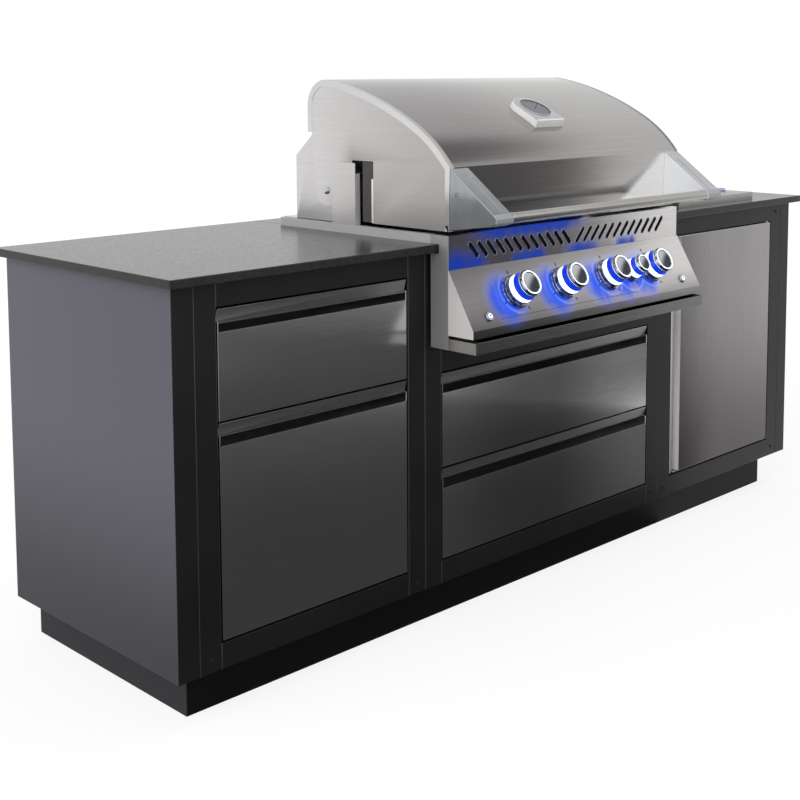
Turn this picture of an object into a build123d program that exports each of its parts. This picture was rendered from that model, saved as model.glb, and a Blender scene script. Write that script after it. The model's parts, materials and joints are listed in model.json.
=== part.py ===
from build123d import *
import os
from math import cos, radians, sin

os.makedirs("parts", exist_ok=True)

# Driving dimensions in millimetres: cabinets and worktop
side_module_width = 640
grill_module_width = 929
end_strip_width = 52
cabinet_depth = 640
counter_height = 914
slab_thickness = 19
slab_overhang_side = 20
slab_overhang_front = 28
slab_overhang_back = 20
plinth_height = 103
plinth_inset = 57
plinth_sheet = 3
sheet = 2
stile_width = 54
top_rail_height = 52
bottom_rail_height = 54
frame_depth = 25
shelf_height = 470
shelf_setback = 60
foot_pad_radius = 22
foot_pad_height = 10
foot_stem_radius = 6
foot_inset = 90
screw_head_radius = 4.5
screw_head_height = 1.6
screw_margin = 26
socket_radius = 2
gas_port_radius = 30
gas_port_height = 260

# Drawers and door
front_gap = 4
front_recess = 1
front_depth = 20
pull_lip = 25
pull_setback = 7
pull_mouth = 22
pull_rise = 10
pull_depth = 33
left_lower_front_height = 447
grill_lower_front_height = 217
grill_rail_height = 59.5
box_rise = 14
box_headroom = 8
drawer_length = 540
runner_width = 12.5
runner_height = 34
runner_clearance = 0.5
ledge_clearance = 0.3
ledge_thickness = 3
door_pin_radius = 4
door_pin_inset = 8
door_pin_length = 16
bush_size = 14
bush_height = 24
bush_clearance = 0.3
running_clearance = 0.1

# Grill head
grill_width = 901
grill_depth = 530
flange_height = 21
flange_width = 16
slab_cutout_inset = 12
bezel_reach = 60
bezel_setback = 5
bezel_drop = 239
notch_clearance = 3
louver_height = 78
slot_count = 12
slot_pitch = 30.8
slot_first = 27
slot_length = 49
slot_width = 12
slot_lean = 42
control_drop = 129
control_reach = 77
control_lip = 19
tray_gap = 6.5
tray_reach = 144.5
tray_height = 27
tray_side_gap = 1.2
tray_end_gap = 20
guide_width = 12
guide_thickness = 3.5
firebox_front_gap = 15

# Controls on the sloping panel
knob_spacing = 177
knob_down = 76
panel_bezel_radius = 41
panel_bezel_height = 11
knob_foot_radius = 36.5
knob_cap_radius = 31
knob_height = 46
knob_bore_depth = 30
knob_wall = 5
knob_hub_wall = 5
small_knob_scale = 0.72
knob_gap = 0.4
stem_radius = 4
stem_end_gap = 1
stem_hole_clearance = 2
valve_width = 26
valve_length = 44
manifold_radius = 9
manifold_back = 30
button_spread = 384
button_down = 122
button_radius = 6
button_collar_radius = 11
button_collar_height = 5
button_proud = 7
button_length = 16
button_gap = 0.4

# Lid, measured from the cabinet front and from the lid's lower edge
lid_inset = 4.5
lid_sheet = 2
lid_gap = 8.5
lid_reach = 62
lid_lean = 5
brow_rise = 145
shoulder_back = 43.5
shoulder_rise = 235.5
crown_back = 349
crown_rise = 340.5
crown_slope = 8.6
lid_back = 424
back_corner_rise = 276
back_edge_rise = 211.5
lid_rim = 15
pivot_back = 355
pivot_rise = 69.5
pivot_radius = 5
pivot_head_radius = 9
pivot_head_height = 3
lobe_radius = 40
rod_slot_front = 188
rod_slot_back = 262
rod_slot_rise = 148
rod_slot_foot = 42
bracket_width = 59
bracket_wall = 3
handle_out = 125
handle_rise = 36.5
handle_radius = 10.5
nose_radius = 13
gauge_width = 115
gauge_height = 129
gauge_thickness = 18
gauge_skirt = 14
gauge_wall_lean = 8
gauge_bevel = 2.5
gauge_dial_radius = 36
gauge_dial_depth = 3
gauge_along = 0.9
gauge_probe_radius = 3
gauge_seat_gap = 0.3

# Rear hood, spit bracket and cooking parts
hood_inset = 4
swing_clearance = 4
hood_top_angle = 65
hood_corner_angle = 34
hood_front_back = 300
spit_fold_inset = 12
spit_plate_width = 82
spit_plate_height = 150
spit_fold_width = 15
spit_fold_height = 125
grid_count = 3
grid_gap = 3
grid_thickness = 9
grid_bar = 7
grid_bar_count = 14
grid_ledge = 14
grid_depth_below_flange = 24
burner_count = 4
burner_radius = 13
burner_below_flange = 130
heat_plate_width = 150
heat_plate_rise = 45
heat_plate_below_flange = 92
rack_width = 760
rack_depth = 200
rack_gap = 7
rack_bar = 6
rack_bar_count = 15
rear_burner_width = 520
rear_burner_depth = 30
rear_burner_height = 75
rear_burner_lift = 10

# Side burner set into the right worktop
side_burner_width = 394
side_burner_depth = 470
side_burner_setback = 25
side_burner_rim = 14
side_burner_well = 90
side_burner_control = 92
side_lid_thickness = 10
side_lid_border = 16
side_lid_ledge = 9
side_lid_wall = 16
side_lid_gap = 0.6
side_pin_radius = 2.5
side_pin_length = 12
ring_burner_radius = 55
ring_burner_height = 28
grate_bar = 8
grate_bar_count = 5
side_knob_radius = 22
side_knob_height = 8
side_knob_setback = 90

# Reference planes worked out from the sizes
total_width = 2 * end_strip_width + 2 * side_module_width + grill_module_width
left_side = -total_width / 2
left_x = left_side + end_strip_width
grill_x = left_x + side_module_width
right_x = grill_x + grill_module_width
right_end = right_x + side_module_width
handle_reach = lid_reach + handle_out + nose_radius
front = (handle_reach - cabinet_depth - slab_overhang_back) / 2
back = front + cabinet_depth
inner_back = back - sheet
slab_bottom = counter_height - slab_thickness
opening_bottom = plinth_height + bottom_rail_height
opening_top = slab_bottom - top_rail_height
face = front + front_recess
grill_half = grill_width / 2
flange_top = counter_height + flange_height
bezel_front = front - bezel_reach
bezel_back = front - bezel_setback
bezel_bottom = counter_height - bezel_drop
louver_bottom = flange_top - louver_height
flange_back = front + grill_depth
firebox_half = grill_half - flange_width
firebox_front = bezel_front + firebox_front_gap
firebox_back = flange_back - flange_width
cutout_half = grill_half - slab_cutout_inset
cutout_back = flange_back - slab_cutout_inset


def span(low, high, mode=Mode.ADD):
    """Add or cut the box between two corners."""
    middle = [(a + b) / 2 for a, b in zip(low, high)]
    with Locations(tuple(middle)):
        Box(*[b - a for a, b in zip(low, high)], mode=mode)


def plate(low, high):
    with BuildPart() as piece:
        span(low, high)
    return piece.part


def prism(points, x_low, x_high, mode=Mode.ADD):
    """Extrude a YZ outline along X."""
    with BuildSketch(Plane.YZ.offset(x_low)) as outline:
        with BuildLine():
            Polyline(*points, close=True)
        make_face()
    extrude(outline.sketch, amount=x_high - x_low, mode=mode)


def tube(low, high, axis):
    """Rectangular tube, open at both ends along one axis."""
    inner_low = [a if i == axis else a + sheet for i, a in enumerate(low)]
    inner_high = [b if i == axis else b - sheet for i, b in enumerate(high)]
    with BuildPart() as member:
        span(low, high)
        span(inner_low, inner_high, mode=Mode.SUBTRACT)
    return member.part


def save(name, *pieces):
    """Write one node: a single piece, or several separate solids."""
    solids = [solid for piece in pieces for solid in piece.solids()]
    node = solids[0] if len(solids) == 1 else Compound(solids)
    node.label = name
    export_step(node, f"parts/{name}.step")


def both_sides(piece):
    return [piece, mirror(piece, about=Plane.YZ)]


# Plinth and levelling feet
plinth_front = front + plinth_inset
plinth_left = left_side + plinth_inset
plinth_right = -plinth_left
cross_boards = [
    plate((x - plinth_sheet / 2, plinth_front + plinth_sheet, 0),
          (x + plinth_sheet / 2, back - plinth_sheet, plinth_height))
    for x in (grill_x, right_x)
]
save(
    "plinth_boards",
    plate((plinth_left, plinth_front, 0), (plinth_right, plinth_front + plinth_sheet, plinth_height)),
    plate((plinth_left, back - plinth_sheet, 0), (plinth_right, back, plinth_height)),
    plate((plinth_left, plinth_front + plinth_sheet, 0),
          (plinth_left + plinth_sheet, back - plinth_sheet, plinth_height)),
    plate((plinth_right - plinth_sheet, plinth_front + plinth_sheet, 0),
          (plinth_right, back - plinth_sheet, plinth_height)),
    *cross_boards,
)

foot_x = [plinth_left + foot_inset, grill_x - foot_inset, grill_x + foot_inset]
foot_y = [plinth_front + foot_inset, back - foot_inset]
foot_spots = [(x * side, y) for x in foot_x for y in foot_y for side in (1, -1)]
with BuildPart() as feet:
    with BuildSketch():
        with Locations(*foot_spots):
            Circle(foot_pad_radius)
    extrude(amount=foot_pad_height)
    with BuildSketch(Plane.XY.offset(foot_pad_height)):
        with Locations(*foot_spots):
            Circle(foot_stem_radius)
    extrude(amount=plinth_height - foot_pad_height)
save("levelling_feet", feet.part)

# End panels: folded sheets with a front and a back return
with BuildPart() as end_panel:
    span((left_side, front, plinth_height), (left_x, back, slab_bottom))
    span((left_side + sheet, front + sheet, plinth_height), (left_x, back - sheet, slab_bottom),
         mode=Mode.SUBTRACT)
save("end_panel_left", end_panel.part)
save("end_panel_right", mirror(end_panel.part, about=Plane.YZ))


def cabinet_panels(x_low, x_high):
    """Floor, side and back sheets of one cabinet, behind its face frame."""
    frame_back = front + frame_depth
    floor_top = plinth_height + sheet
    return [
        plate((x_low, frame_back, plinth_height), (x_high, back, floor_top)),
        plate((x_low, frame_back, floor_top), (x_low + sheet, back, slab_bottom)),
        plate((x_high - sheet, frame_back, floor_top), (x_high, back, slab_bottom)),
        plate((x_low + sheet, inner_back, floor_top), (x_high - sheet, back, slab_bottom)),
    ]


def face_frame(x_low, x_high):
    """Two stiles and two rails of rectangular tube."""
    frame_back = front + frame_depth
    inner_low = x_low + stile_width
    inner_high = x_high - stile_width
    return [
        tube((x_low, front, plinth_height), (inner_low, frame_back, slab_bottom), 2),
        tube((inner_high, front, plinth_height), (x_high, frame_back, slab_bottom), 2),
        tube((inner_low, front, plinth_height), (inner_high, frame_back, opening_bottom), 0),
        tube((inner_low, front, opening_top), (inner_high, frame_back, slab_bottom), 0),
    ]


save("left_cabinet_panels", *cabinet_panels(left_x, grill_x))
save("right_cabinet_panels", *cabinet_panels(right_x, right_end))
save("left_face_frame", *face_frame(left_x, grill_x))
save("right_face_frame", *face_frame(right_x, right_end))

# Grill cabinet: gas hose port in the back sheet, frame cut down under the grill head
grill_sheets = cabinet_panels(grill_x, right_x)
with BuildPart() as grill_back:
    add(grill_sheets[3])
    with Locations(Location((0, inner_back + sheet / 2, gas_port_height), (90, 0, 0))):
        Cylinder(gas_port_radius, 2 * sheet, mode=Mode.SUBTRACT)
save("grill_cabinet_panels", *grill_sheets[:3], grill_back.part)

grill_rail_top = bezel_bottom - notch_clearance - guide_thickness
grill_opening_top = grill_rail_top - grill_rail_height
post_inner = firebox_half + notch_clearance
grill_inner = grill_x + stile_width
frame_back = front + frame_depth
lower_stile = tube((grill_x, front, plinth_height), (grill_inner, frame_back, grill_rail_top), 2)
upper_post = tube((grill_x, front, grill_rail_top), (-post_inner, frame_back, slab_bottom), 2)
save(
    "grill_face_frame",
    *both_sides(lower_stile),
    *both_sides(upper_post),
    tube((grill_inner, front, plinth_height), (-grill_inner, frame_back, opening_bottom), 0),
    tube((grill_inner, front, grill_opening_top), (-grill_inner, frame_back, grill_rail_top), 0),
)

save(
    "cabinet_shelf",
    plate((right_x + sheet, front + shelf_setback, shelf_height),
          (right_end - sheet, inner_back, shelf_height + sheet)),
)

# Screw heads at the ends of every stile
stile_lines = [left_x + stile_width / 2, grill_x - stile_width / 2, grill_x + stile_width / 2]
screw_spots = [
    (x * side, z)
    for x in stile_lines
    for side in (1, -1)
    for z in (plinth_height + screw_margin, slab_bottom - screw_margin)
    if abs(x) > grill_half or z < grill_rail_top
]
with BuildPart() as screws:
    with BuildSketch(Plane.XZ.offset(-front)):
        with Locations(*screw_spots):
            Circle(screw_head_radius)
            Circle(socket_radius, mode=Mode.SUBTRACT)
    extrude(amount=screw_head_height)
save("frame_screws", screws.part)

# Worktop slabs
slab_left_edge = left_side - slab_overhang_side
slab_front = front - slab_overhang_front
slab_back = back + slab_overhang_back
save("countertop_left", plate((slab_left_edge, slab_front, slab_bottom),
                              (-cutout_half, slab_back, counter_height)))
save("countertop_rear", plate((-cutout_half, cutout_back, slab_bottom),
                              (cutout_half, slab_back, counter_height)))
burner_x = (right_x + right_end) / 2
burner_half = side_burner_width / 2
burner_front = front + side_burner_setback
burner_back = burner_front + side_burner_depth
with BuildPart() as right_slab:
    span((cutout_half, slab_front, slab_bottom), (-slab_left_edge, slab_back, counter_height))
    span((burner_x - burner_half + side_burner_rim, burner_front + side_burner_rim, slab_bottom),
         (burner_x + burner_half - side_burner_rim, burner_back - side_burner_rim, counter_height),
         mode=Mode.SUBTRACT)
save("countertop_right", right_slab.part)


# Drawer fronts and the door share one folded pull
def pull_outlines(length):
    """Outlines of a front as (distance from the pulled edge, depth behind the face)."""
    mouth_end = pull_lip + pull_mouth
    channel_end = mouth_end + sheet
    channel_back = pull_depth + sheet
    body = [(0, 0), (0, channel_back), (channel_end, channel_back), (channel_end, front_depth),
            (length, front_depth), (length, 0)]
    recess = [(mouth_end, 0), (mouth_end - pull_rise, pull_depth), (sheet, pull_depth), (sheet, sheet),
              (pull_lip, pull_setback + sheet), (pull_lip, 0)]
    lip_bevel = [(0, 0), (pull_lip, pull_setback), (pull_lip, 0)]
    return body, recess, lip_bevel, channel_end


def drawer_front(x_low, x_high, z_low, z_high):
    body, recess, lip_bevel, channel_end = pull_outlines(z_high - z_low)

    def placed(outline):
        return [(face + depth, z_high - along) for along, depth in outline]

    with BuildPart() as front_panel:
        prism(placed(body), x_low, x_high)
        prism(placed(lip_bevel), x_low, x_high, mode=Mode.SUBTRACT)
        prism(placed(recess), x_low + sheet, x_high - sheet, mode=Mode.SUBTRACT)
        span((x_low + sheet, face + sheet, z_low + sheet),
             (x_high - sheet, face + front_depth, z_high - channel_end), mode=Mode.SUBTRACT)
    return front_panel.part


def drawer_box(x_low, x_high, z_low, z_high):
    """Open box of five sheets and its two runners, carried on the cabinet rails."""
    y_low = face + sheet
    y_high = y_low + drawer_length
    floor_top = z_low + sheet
    runner_front = face + front_depth + sheet
    runner_low = z_low + box_rise
    walls = [
        plate((x_low, y_low, z_low), (x_high, y_high, floor_top)),
        plate((x_low, y_low, floor_top), (x_low + sheet, y_high, z_high)),
        plate((x_high - sheet, y_low, floor_top), (x_high, y_high, z_high)),
        plate((x_low + sheet, y_low, floor_top), (x_high - sheet, y_low + sheet, z_high)),
        plate((x_low + sheet, y_high - sheet, floor_top), (x_high - sheet, y_high, z_high)),
    ]
    reach = runner_width - runner_clearance
    runners = [
        plate((x, runner_front, runner_low), (x + reach, y_high, runner_low + runner_height))
        for x in (x_low - reach, x_high)
    ]
    return walls + runners


def slide_rails(x_low, x_high, z_low):
    """Upright and ledge of the two rails, fixed between the face frame and the back sheet."""
    ledge_top = z_low + box_rise - ledge_clearance
    ledge_bottom = ledge_top - ledge_thickness
    rail_top = z_low + box_rise + runner_height
    y_low = front + frame_depth
    reach = runner_width - runner_clearance
    return [
        plate((x_low - sheet, y_low, ledge_bottom), (x_low, inner_back, rail_top)),
        plate((x_low, y_low, ledge_bottom), (x_low + reach, inner_back, ledge_top)),
        plate((x_high, y_low, ledge_bottom), (x_high + sheet, inner_back, rail_top)),
        plate((x_high - reach, y_low, ledge_bottom), (x_high, inner_back, ledge_top)),
    ]


left_opening = (left_x + stile_width, grill_x - stile_width)
grill_opening = (grill_inner, -grill_inner)
left_split = opening_bottom + front_gap + left_lower_front_height
grill_split = opening_bottom + front_gap + grill_lower_front_height
drawers = {
    "left_upper_drawer": (left_opening, left_split + front_gap, opening_top - front_gap),
    "left_lower_drawer": (left_opening, opening_bottom + front_gap, left_split),
    "grill_upper_drawer": (grill_opening, grill_split + front_gap, grill_opening_top - front_gap),
    "grill_lower_drawer": (grill_opening, opening_bottom + front_gap, grill_split),
}
rails = []
for drawer_name, ((x_low, x_high), z_low, z_high) in drawers.items():
    box_low = z_low + box_rise
    box_high = z_high - pull_lip - pull_mouth - sheet - box_headroom
    save(f"{drawer_name}_front", drawer_front(x_low + front_gap, x_high - front_gap, z_low, z_high))
    save(f"{drawer_name}_box",
         *drawer_box(x_low + runner_width, x_high - runner_width, box_low, box_high))
    rails += slide_rails(x_low, x_high, box_low)
save("drawer_rails", *rails)

# Door, hung on two pins at its right edge
door_left = right_x + stile_width + front_gap
door_right = right_end - stile_width - front_gap
door_bottom = opening_bottom + front_gap
door_top = opening_top - front_gap
door_pin_x = door_right - door_pin_inset
door_pin_y = face + door_pin_inset
door_outlines = pull_outlines(door_right - door_left)
channel_end = door_outlines[3]


def upright_prism(outline, z_low, z_high, mode=Mode.ADD):
    """Extrude a front's outline upwards, with its pulled edge at the left."""
    with BuildSketch(Plane.XY.offset(z_low)) as section:
        with BuildLine():
            Polyline(*[(door_left + along, face + depth) for along, depth in outline], close=True)
        make_face()
    extrude(section.sketch, amount=z_high - z_low, mode=mode)


with BuildPart() as door:
    upright_prism(door_outlines[0], door_bottom, door_top)
    upright_prism(door_outlines[2], door_bottom, door_top, mode=Mode.SUBTRACT)
    upright_prism(door_outlines[1], door_bottom + sheet, door_top - sheet, mode=Mode.SUBTRACT)
    span((door_left + channel_end, face + sheet, door_bottom + sheet),
         (door_right - sheet, face + front_depth, door_top - sheet), mode=Mode.SUBTRACT)
    with Locations((door_pin_x, door_pin_y, (door_bottom + door_top) / 2)):
        Cylinder(door_pin_radius + bush_clearance, door_top - door_bottom, mode=Mode.SUBTRACT)
save("door_panel", door.part)

bush_x = (door_right - sheet - bush_size, door_right - sheet)
bush_y = (face + sheet, face + sheet + bush_size)
bushes = []
for z_low, z_high in ((door_bottom + sheet, door_bottom + sheet + bush_height),
                      (door_top - sheet - bush_height, door_top - sheet)):
    with BuildPart() as bush:
        span((bush_x[0], bush_y[0], z_low), (bush_x[1], bush_y[1], z_high))
        with Locations((door_pin_x, door_pin_y, (z_low + z_high) / 2)):
            Cylinder(door_pin_radius + running_clearance, bush_height, mode=Mode.SUBTRACT)
    bushes.append(bush.part)
save("door_pivot_bushes", *bushes)

with BuildPart() as door_pins:
    for z_base in (opening_bottom, opening_top - door_pin_length):
        with Locations((door_pin_x, door_pin_y, z_base + door_pin_length / 2)):
            Cylinder(door_pin_radius, door_pin_length)
save("door_pivot_pins", door_pins.part)

# Grill head: flange resting on the worktop, bezel sides and louvre panel in front
side_strip = plate((-grill_half, bezel_back, counter_height), (-firebox_half, flange_back, flange_top))
save("grill_flange", *both_sides(side_strip),
     plate((-firebox_half, firebox_back, counter_height), (firebox_half, flange_back, flange_top)))

notch_front = slab_front - notch_clearance
notch_bottom = slab_bottom - notch_clearance
with BuildPart() as bezel_side:
    prism([(bezel_front, bezel_bottom), (bezel_back, bezel_bottom), (bezel_back, notch_bottom),
           (notch_front, notch_bottom), (notch_front, counter_height), (bezel_back, counter_height),
           (bezel_back, flange_top), (bezel_front, flange_top)], -grill_half, -grill_half + sheet)
save("bezel_sides", *both_sides(bezel_side.part))

louver_half = grill_half - sheet
slot_middle = (louver_bottom + flange_top) / 2
slot_spots = [slot_first + i * slot_pitch for i in range(slot_count)]
with BuildPart() as louver:
    span((-louver_half, bezel_front, louver_bottom), (louver_half, bezel_front + sheet, flange_top))
    span((-louver_half, bezel_front, flange_top - sheet), (louver_half, firebox_front, flange_top))
    with BuildSketch(Plane.XZ.offset(-bezel_front)):
        with Locations(*[(x, slot_middle) for x in slot_spots]):
            SlotOverall(slot_length, slot_width, rotation=90 - slot_lean)
        with Locations(*[(-x, slot_middle) for x in slot_spots]):
            SlotOverall(slot_length, slot_width, rotation=90 + slot_lean)
    extrude(amount=-sheet, mode=Mode.SUBTRACT)
save("louver_panel", louver.part)

# Sloping control panel, a folded shell open at the back
slope_top = (bezel_front - sheet, louver_bottom)
slope_foot = (bezel_front - control_reach, louver_bottom - control_drop)
control_bottom = slope_foot[1] - control_lip
slope = Vector(0, slope_foot[0] - slope_top[0], slope_foot[1] - slope_top[1]).normalized()
slope_out = Vector(1, 0, 0).cross(slope).normalized()
slope_out = slope_out if slope_out.Y < 0 else -slope_out


def on_slope(x, down):
    """Plane on the control panel's face, its normal pointing out of the panel."""
    origin = Vector(x, *slope_top) + slope * down
    return Plane(origin, x_dir=(1, 0, 0), z_dir=slope_out)


big_knobs = [-1.5 * knob_spacing, -0.5 * knob_spacing, 0.5 * knob_spacing, 1.5 * knob_spacing]
small_knob = knob_spacing
buttons = [-button_spread, button_spread]
with BuildPart() as control_panel:
    prism([(bezel_front, louver_bottom), slope_top, slope_foot, (slope_foot[0], control_bottom),
           (bezel_front, control_bottom)], -grill_half, grill_half)
    offset(amount=-sheet, openings=control_panel.faces().sort_by(Axis.Y)[-1])
    for x in (*big_knobs, small_knob):
        with BuildSketch(on_slope(x, knob_down)) as stem_hole:
            Circle(stem_radius + stem_hole_clearance)
        extrude(stem_hole.sketch, amount=2 * sheet, both=True, mode=Mode.SUBTRACT)
    for x in buttons:
        with BuildSketch(on_slope(x, button_down)) as button_hole:
            Circle(button_radius + button_gap)
        extrude(button_hole.sketch, amount=2 * sheet, both=True, mode=Mode.SUBTRACT)
save("control_panel", control_panel.part)


def ring_on_slope(x, down, outer, inner, height):
    with BuildPart() as ring:
        with BuildSketch(on_slope(x, down)) as section:
            Circle(outer)
            Circle(inner, mode=Mode.SUBTRACT)
        extrude(section.sketch, amount=height)
        rim_edges = ring.edges().filter_by(GeomType.CIRCLE).sort_by(SortBy.RADIUS)[-2:]
        chamfer(rim_edges.sort_by(Axis.Z)[-1:], length=height / 4)
    return ring.part


panel_bezels = [
    ring_on_slope(x, knob_down, panel_bezel_radius, stem_radius + stem_hole_clearance, panel_bezel_height)
    for x in big_knobs
]
panel_bezels.append(ring_on_slope(small_knob, knob_down, panel_bezel_radius * small_knob_scale,
                                  stem_radius + stem_hole_clearance, panel_bezel_height))
for x in buttons:
    panel_bezels.append(ring_on_slope(x, button_down, button_collar_radius,
                                      button_radius + button_gap, button_collar_height))
save("control_bezels", *panel_bezels)


def knob(x, scale):
    """Stepped knob with a foot, a light band and a dished cap, bored for its valve stem."""
    base = panel_bezel_height + knob_gap
    foot = knob_foot_radius * scale
    cap = knob_cap_radius * scale
    band = (foot + cap) / 2
    steps = [(0, base), (foot, base), (foot, base + 0.18 * knob_height),
             (foot - 1, base + 0.18 * knob_height), (band, base + 0.5 * knob_height),
             (cap, base + 0.72 * knob_height), (cap, base + 0.94 * knob_height),
             (0.92 * cap, base + knob_height), (0.76 * cap, base + knob_height),
             (0.7 * cap, base + 0.95 * knob_height), (0, base + 0.95 * knob_height)]
    spot = on_slope(x, knob_down)
    with BuildPart() as turned:
        with BuildSketch(Plane.XZ):
            with BuildLine():
                Polyline(*steps, close=True)
            make_face()
        revolve(axis=Axis.Z)
        with Locations((0, 0, base + knob_bore_depth / 2)):
            Cylinder(stem_radius + running_clearance, knob_bore_depth, mode=Mode.SUBTRACT)
        with BuildSketch(Plane.XY.offset(base)) as hollow:
            Circle(cap - knob_wall)
            Circle(stem_radius + knob_hub_wall, mode=Mode.SUBTRACT)
        extrude(hollow.sketch, amount=0.95 * knob_height - knob_wall, mode=Mode.SUBTRACT)
    return turned.part.moved(spot.location)


for number, x in enumerate(big_knobs, start=1):
    save(f"burner_knob_{number}", knob(x, 1))
save("rear_burner_knob", knob(small_knob, small_knob_scale))

for name, x in zip(("light_button", "ignition_button"), buttons):
    with BuildPart() as button:
        with BuildSketch(on_slope(x, button_down).offset(button_proud)) as cap_outline:
            Circle(button_radius)
        extrude(cap_outline.sketch, amount=-button_length)
        fillet(button.faces().sort_by(Axis.Z)[-1].edges(), button_radius / 6)
    save(name, button.part)

# Gas manifold with a valve and a stem behind each knob
stem_top = panel_bezel_height + knob_gap + knob_bore_depth - stem_end_gap
with BuildPart() as manifold:
    for x in (*big_knobs, small_knob):
        spot = on_slope(x, knob_down)
        with BuildSketch(spot.offset(-sheet)) as valve_outline:
            Rectangle(valve_width, valve_width)
        extrude(valve_outline.sketch, amount=-valve_length)
        with BuildSketch(spot.offset(-sheet)) as stem_outline:
            Circle(stem_radius)
        extrude(stem_outline.sketch, amount=stem_top + sheet)
    pipe_centre = on_slope(0, knob_down).offset(-manifold_back - sheet).origin
    pipe_half = big_knobs[-1] + 2 * valve_width
    with BuildSketch(Plane.YZ.offset(-pipe_half)) as pipe_outline:
        with Locations((pipe_centre.Y, pipe_centre.Z)):
            Circle(manifold_radius)
    extrude(pipe_outline.sketch, amount=2 * pipe_half)
save("gas_manifold", manifold.part)

# Firebox hung inside the flange, with grid ledges and tray guides
wall_bottom = bezel_bottom - guide_thickness - ledge_clearance
front_wall_bottom = bezel_bottom + tray_height + tray_gap
grid_bottom = flange_top - grid_depth_below_flange
inside_front = firebox_front + sheet
inside_back = firebox_back - sheet
inside_half = firebox_half - sheet
guide_top = bezel_bottom - ledge_clearance
side_wall = plate((-firebox_half, firebox_front, wall_bottom), (-inside_half, firebox_back, flange_top))
guide = plate((-inside_half, firebox_front, guide_top - guide_thickness),
              (-inside_half + guide_width, firebox_back, guide_top))
save(
    "firebox_walls",
    *both_sides(side_wall),
    *both_sides(guide),
    plate((-inside_half, firebox_front, front_wall_bottom), (inside_half, inside_front, flange_top)),
    plate((-inside_half, inside_back, front_wall_bottom), (inside_half, firebox_back, flange_top)),
    plate((-inside_half, inside_front, grid_bottom - sheet), (inside_half, inside_front + grid_ledge, grid_bottom)),
    plate((-inside_half, inside_back - grid_ledge, grid_bottom - sheet), (inside_half, inside_back, grid_bottom)),
)

# Cooking grids: frames with bars running front to back
grid_width = (2 * inside_half - (grid_count + 1) * grid_gap) / grid_count
grid_y = (inside_front + grid_gap, inside_back - grid_gap)
bar_step = (grid_width - grid_bar) / grid_bar_count
grids = []
for i in range(grid_count):
    x_low = -inside_half + grid_gap + i * (grid_width + grid_gap)
    with BuildPart() as grid:
        for y in (grid_y[0], grid_y[1] - grid_bar):
            span((x_low, y, grid_bottom), (x_low + grid_width, y + grid_bar, grid_bottom + grid_thickness))
        for j in range(grid_bar_count + 1):
            x = x_low + j * bar_step
            span((x, grid_y[0], grid_bottom), (x + grid_bar, grid_y[1], grid_bottom + grid_thickness))
    grids.append(grid.part)
save("cooking_grids", *grids)

# Burner tubes and the peaked heat plates above them
burner_step = 2 * inside_half / burner_count
burner_spots = [-inside_half + (i + 0.5) * burner_step for i in range(burner_count)]
burner_z = flange_top - burner_below_flange
with BuildPart() as burners:
    with BuildSketch(Plane.XZ.offset(-inside_front)):
        with Locations(*[(x, burner_z) for x in burner_spots]):
            Circle(burner_radius)
            Circle(burner_radius - sheet, mode=Mode.SUBTRACT)
    extrude(amount=inside_front - inside_back)
save("burner_tubes", burners.part)

plate_foot = flange_top - heat_plate_below_flange
with BuildPart() as heat_plates:
    with BuildSketch(Plane.XZ.offset(-inside_front)):
        for x in burner_spots:
            with BuildLine():
                Polyline((x - heat_plate_width / 2, plate_foot), (x, plate_foot + heat_plate_rise),
                         (x + heat_plate_width / 2, plate_foot),
                         (x + heat_plate_width / 2 - 2 * sheet, plate_foot),
                         (x, plate_foot + heat_plate_rise - sheet),
                         (x - heat_plate_width / 2 + 2 * sheet, plate_foot), close=True)
            make_face()
    extrude(amount=inside_front - inside_back)
save("heat_plates", heat_plates.part)

# Drip tray with its full-width front, sliding on the guides
tray_front = front - tray_reach
tray_top = bezel_bottom + tray_height
tray_half = inside_half - tray_side_gap
tray_back = firebox_back - tray_end_gap
tray_floor = bezel_bottom + sheet
front_return = plate((-grill_half, tray_front + sheet, bezel_bottom),
                     (-grill_half + sheet, bezel_front - front_gap / 2, tray_top))
tray_wall = plate((-tray_half, tray_front + sheet, tray_floor), (-tray_half + sheet, tray_back, tray_top))
save(
    "drip_tray",
    plate((-grill_half, tray_front, bezel_bottom), (grill_half, tray_front + sheet, tray_top)),
    *both_sides(front_return),
    *both_sides(tray_wall),
    plate((-tray_half, tray_front + sheet, bezel_bottom), (tray_half, tray_back, tray_floor)),
    plate((-tray_half + sheet, tray_back - sheet, tray_floor), (tray_half - sheet, tray_back, tray_top)),
)

# Lid outline in the side view
lid_bottom = flange_top + lid_gap
lid_half = grill_half - lid_inset
brow = (front - lid_reach, lid_bottom + brow_rise)
lid_foot = (front - lid_reach + lid_lean, lid_bottom)
shoulder = (front + shoulder_back, lid_bottom + shoulder_rise)
crown = (front + crown_back, lid_bottom + crown_rise)
back_corner = (front + lid_back, lid_bottom + back_corner_rise)
back_edge = lid_bottom + back_edge_rise
pivot = (front + pivot_back, lid_bottom + pivot_rise)
crown_direction = (-cos(radians(crown_slope)), -sin(radians(crown_slope)))


def lid_block(x_low, x_high):
    """Solid between two planes with the lid's side outline."""
    with BuildSketch(Plane.YZ.offset(x_low)) as outline:
        with BuildLine():
            crown_arc = TangentArc(crown, shoulder, tangent=crown_direction)
            TangentArc(shoulder, brow, tangent=crown_arc % 1)
            Line(brow, lid_foot)
            Line(lid_foot, (back_corner[0], lid_bottom))
            Line((back_corner[0], lid_bottom), back_corner)
            TangentArc(crown, back_corner, tangent=(-crown_direction[0], -crown_direction[1]))
        make_face()
    extrude(outline.sketch, amount=x_high - x_low)


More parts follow.
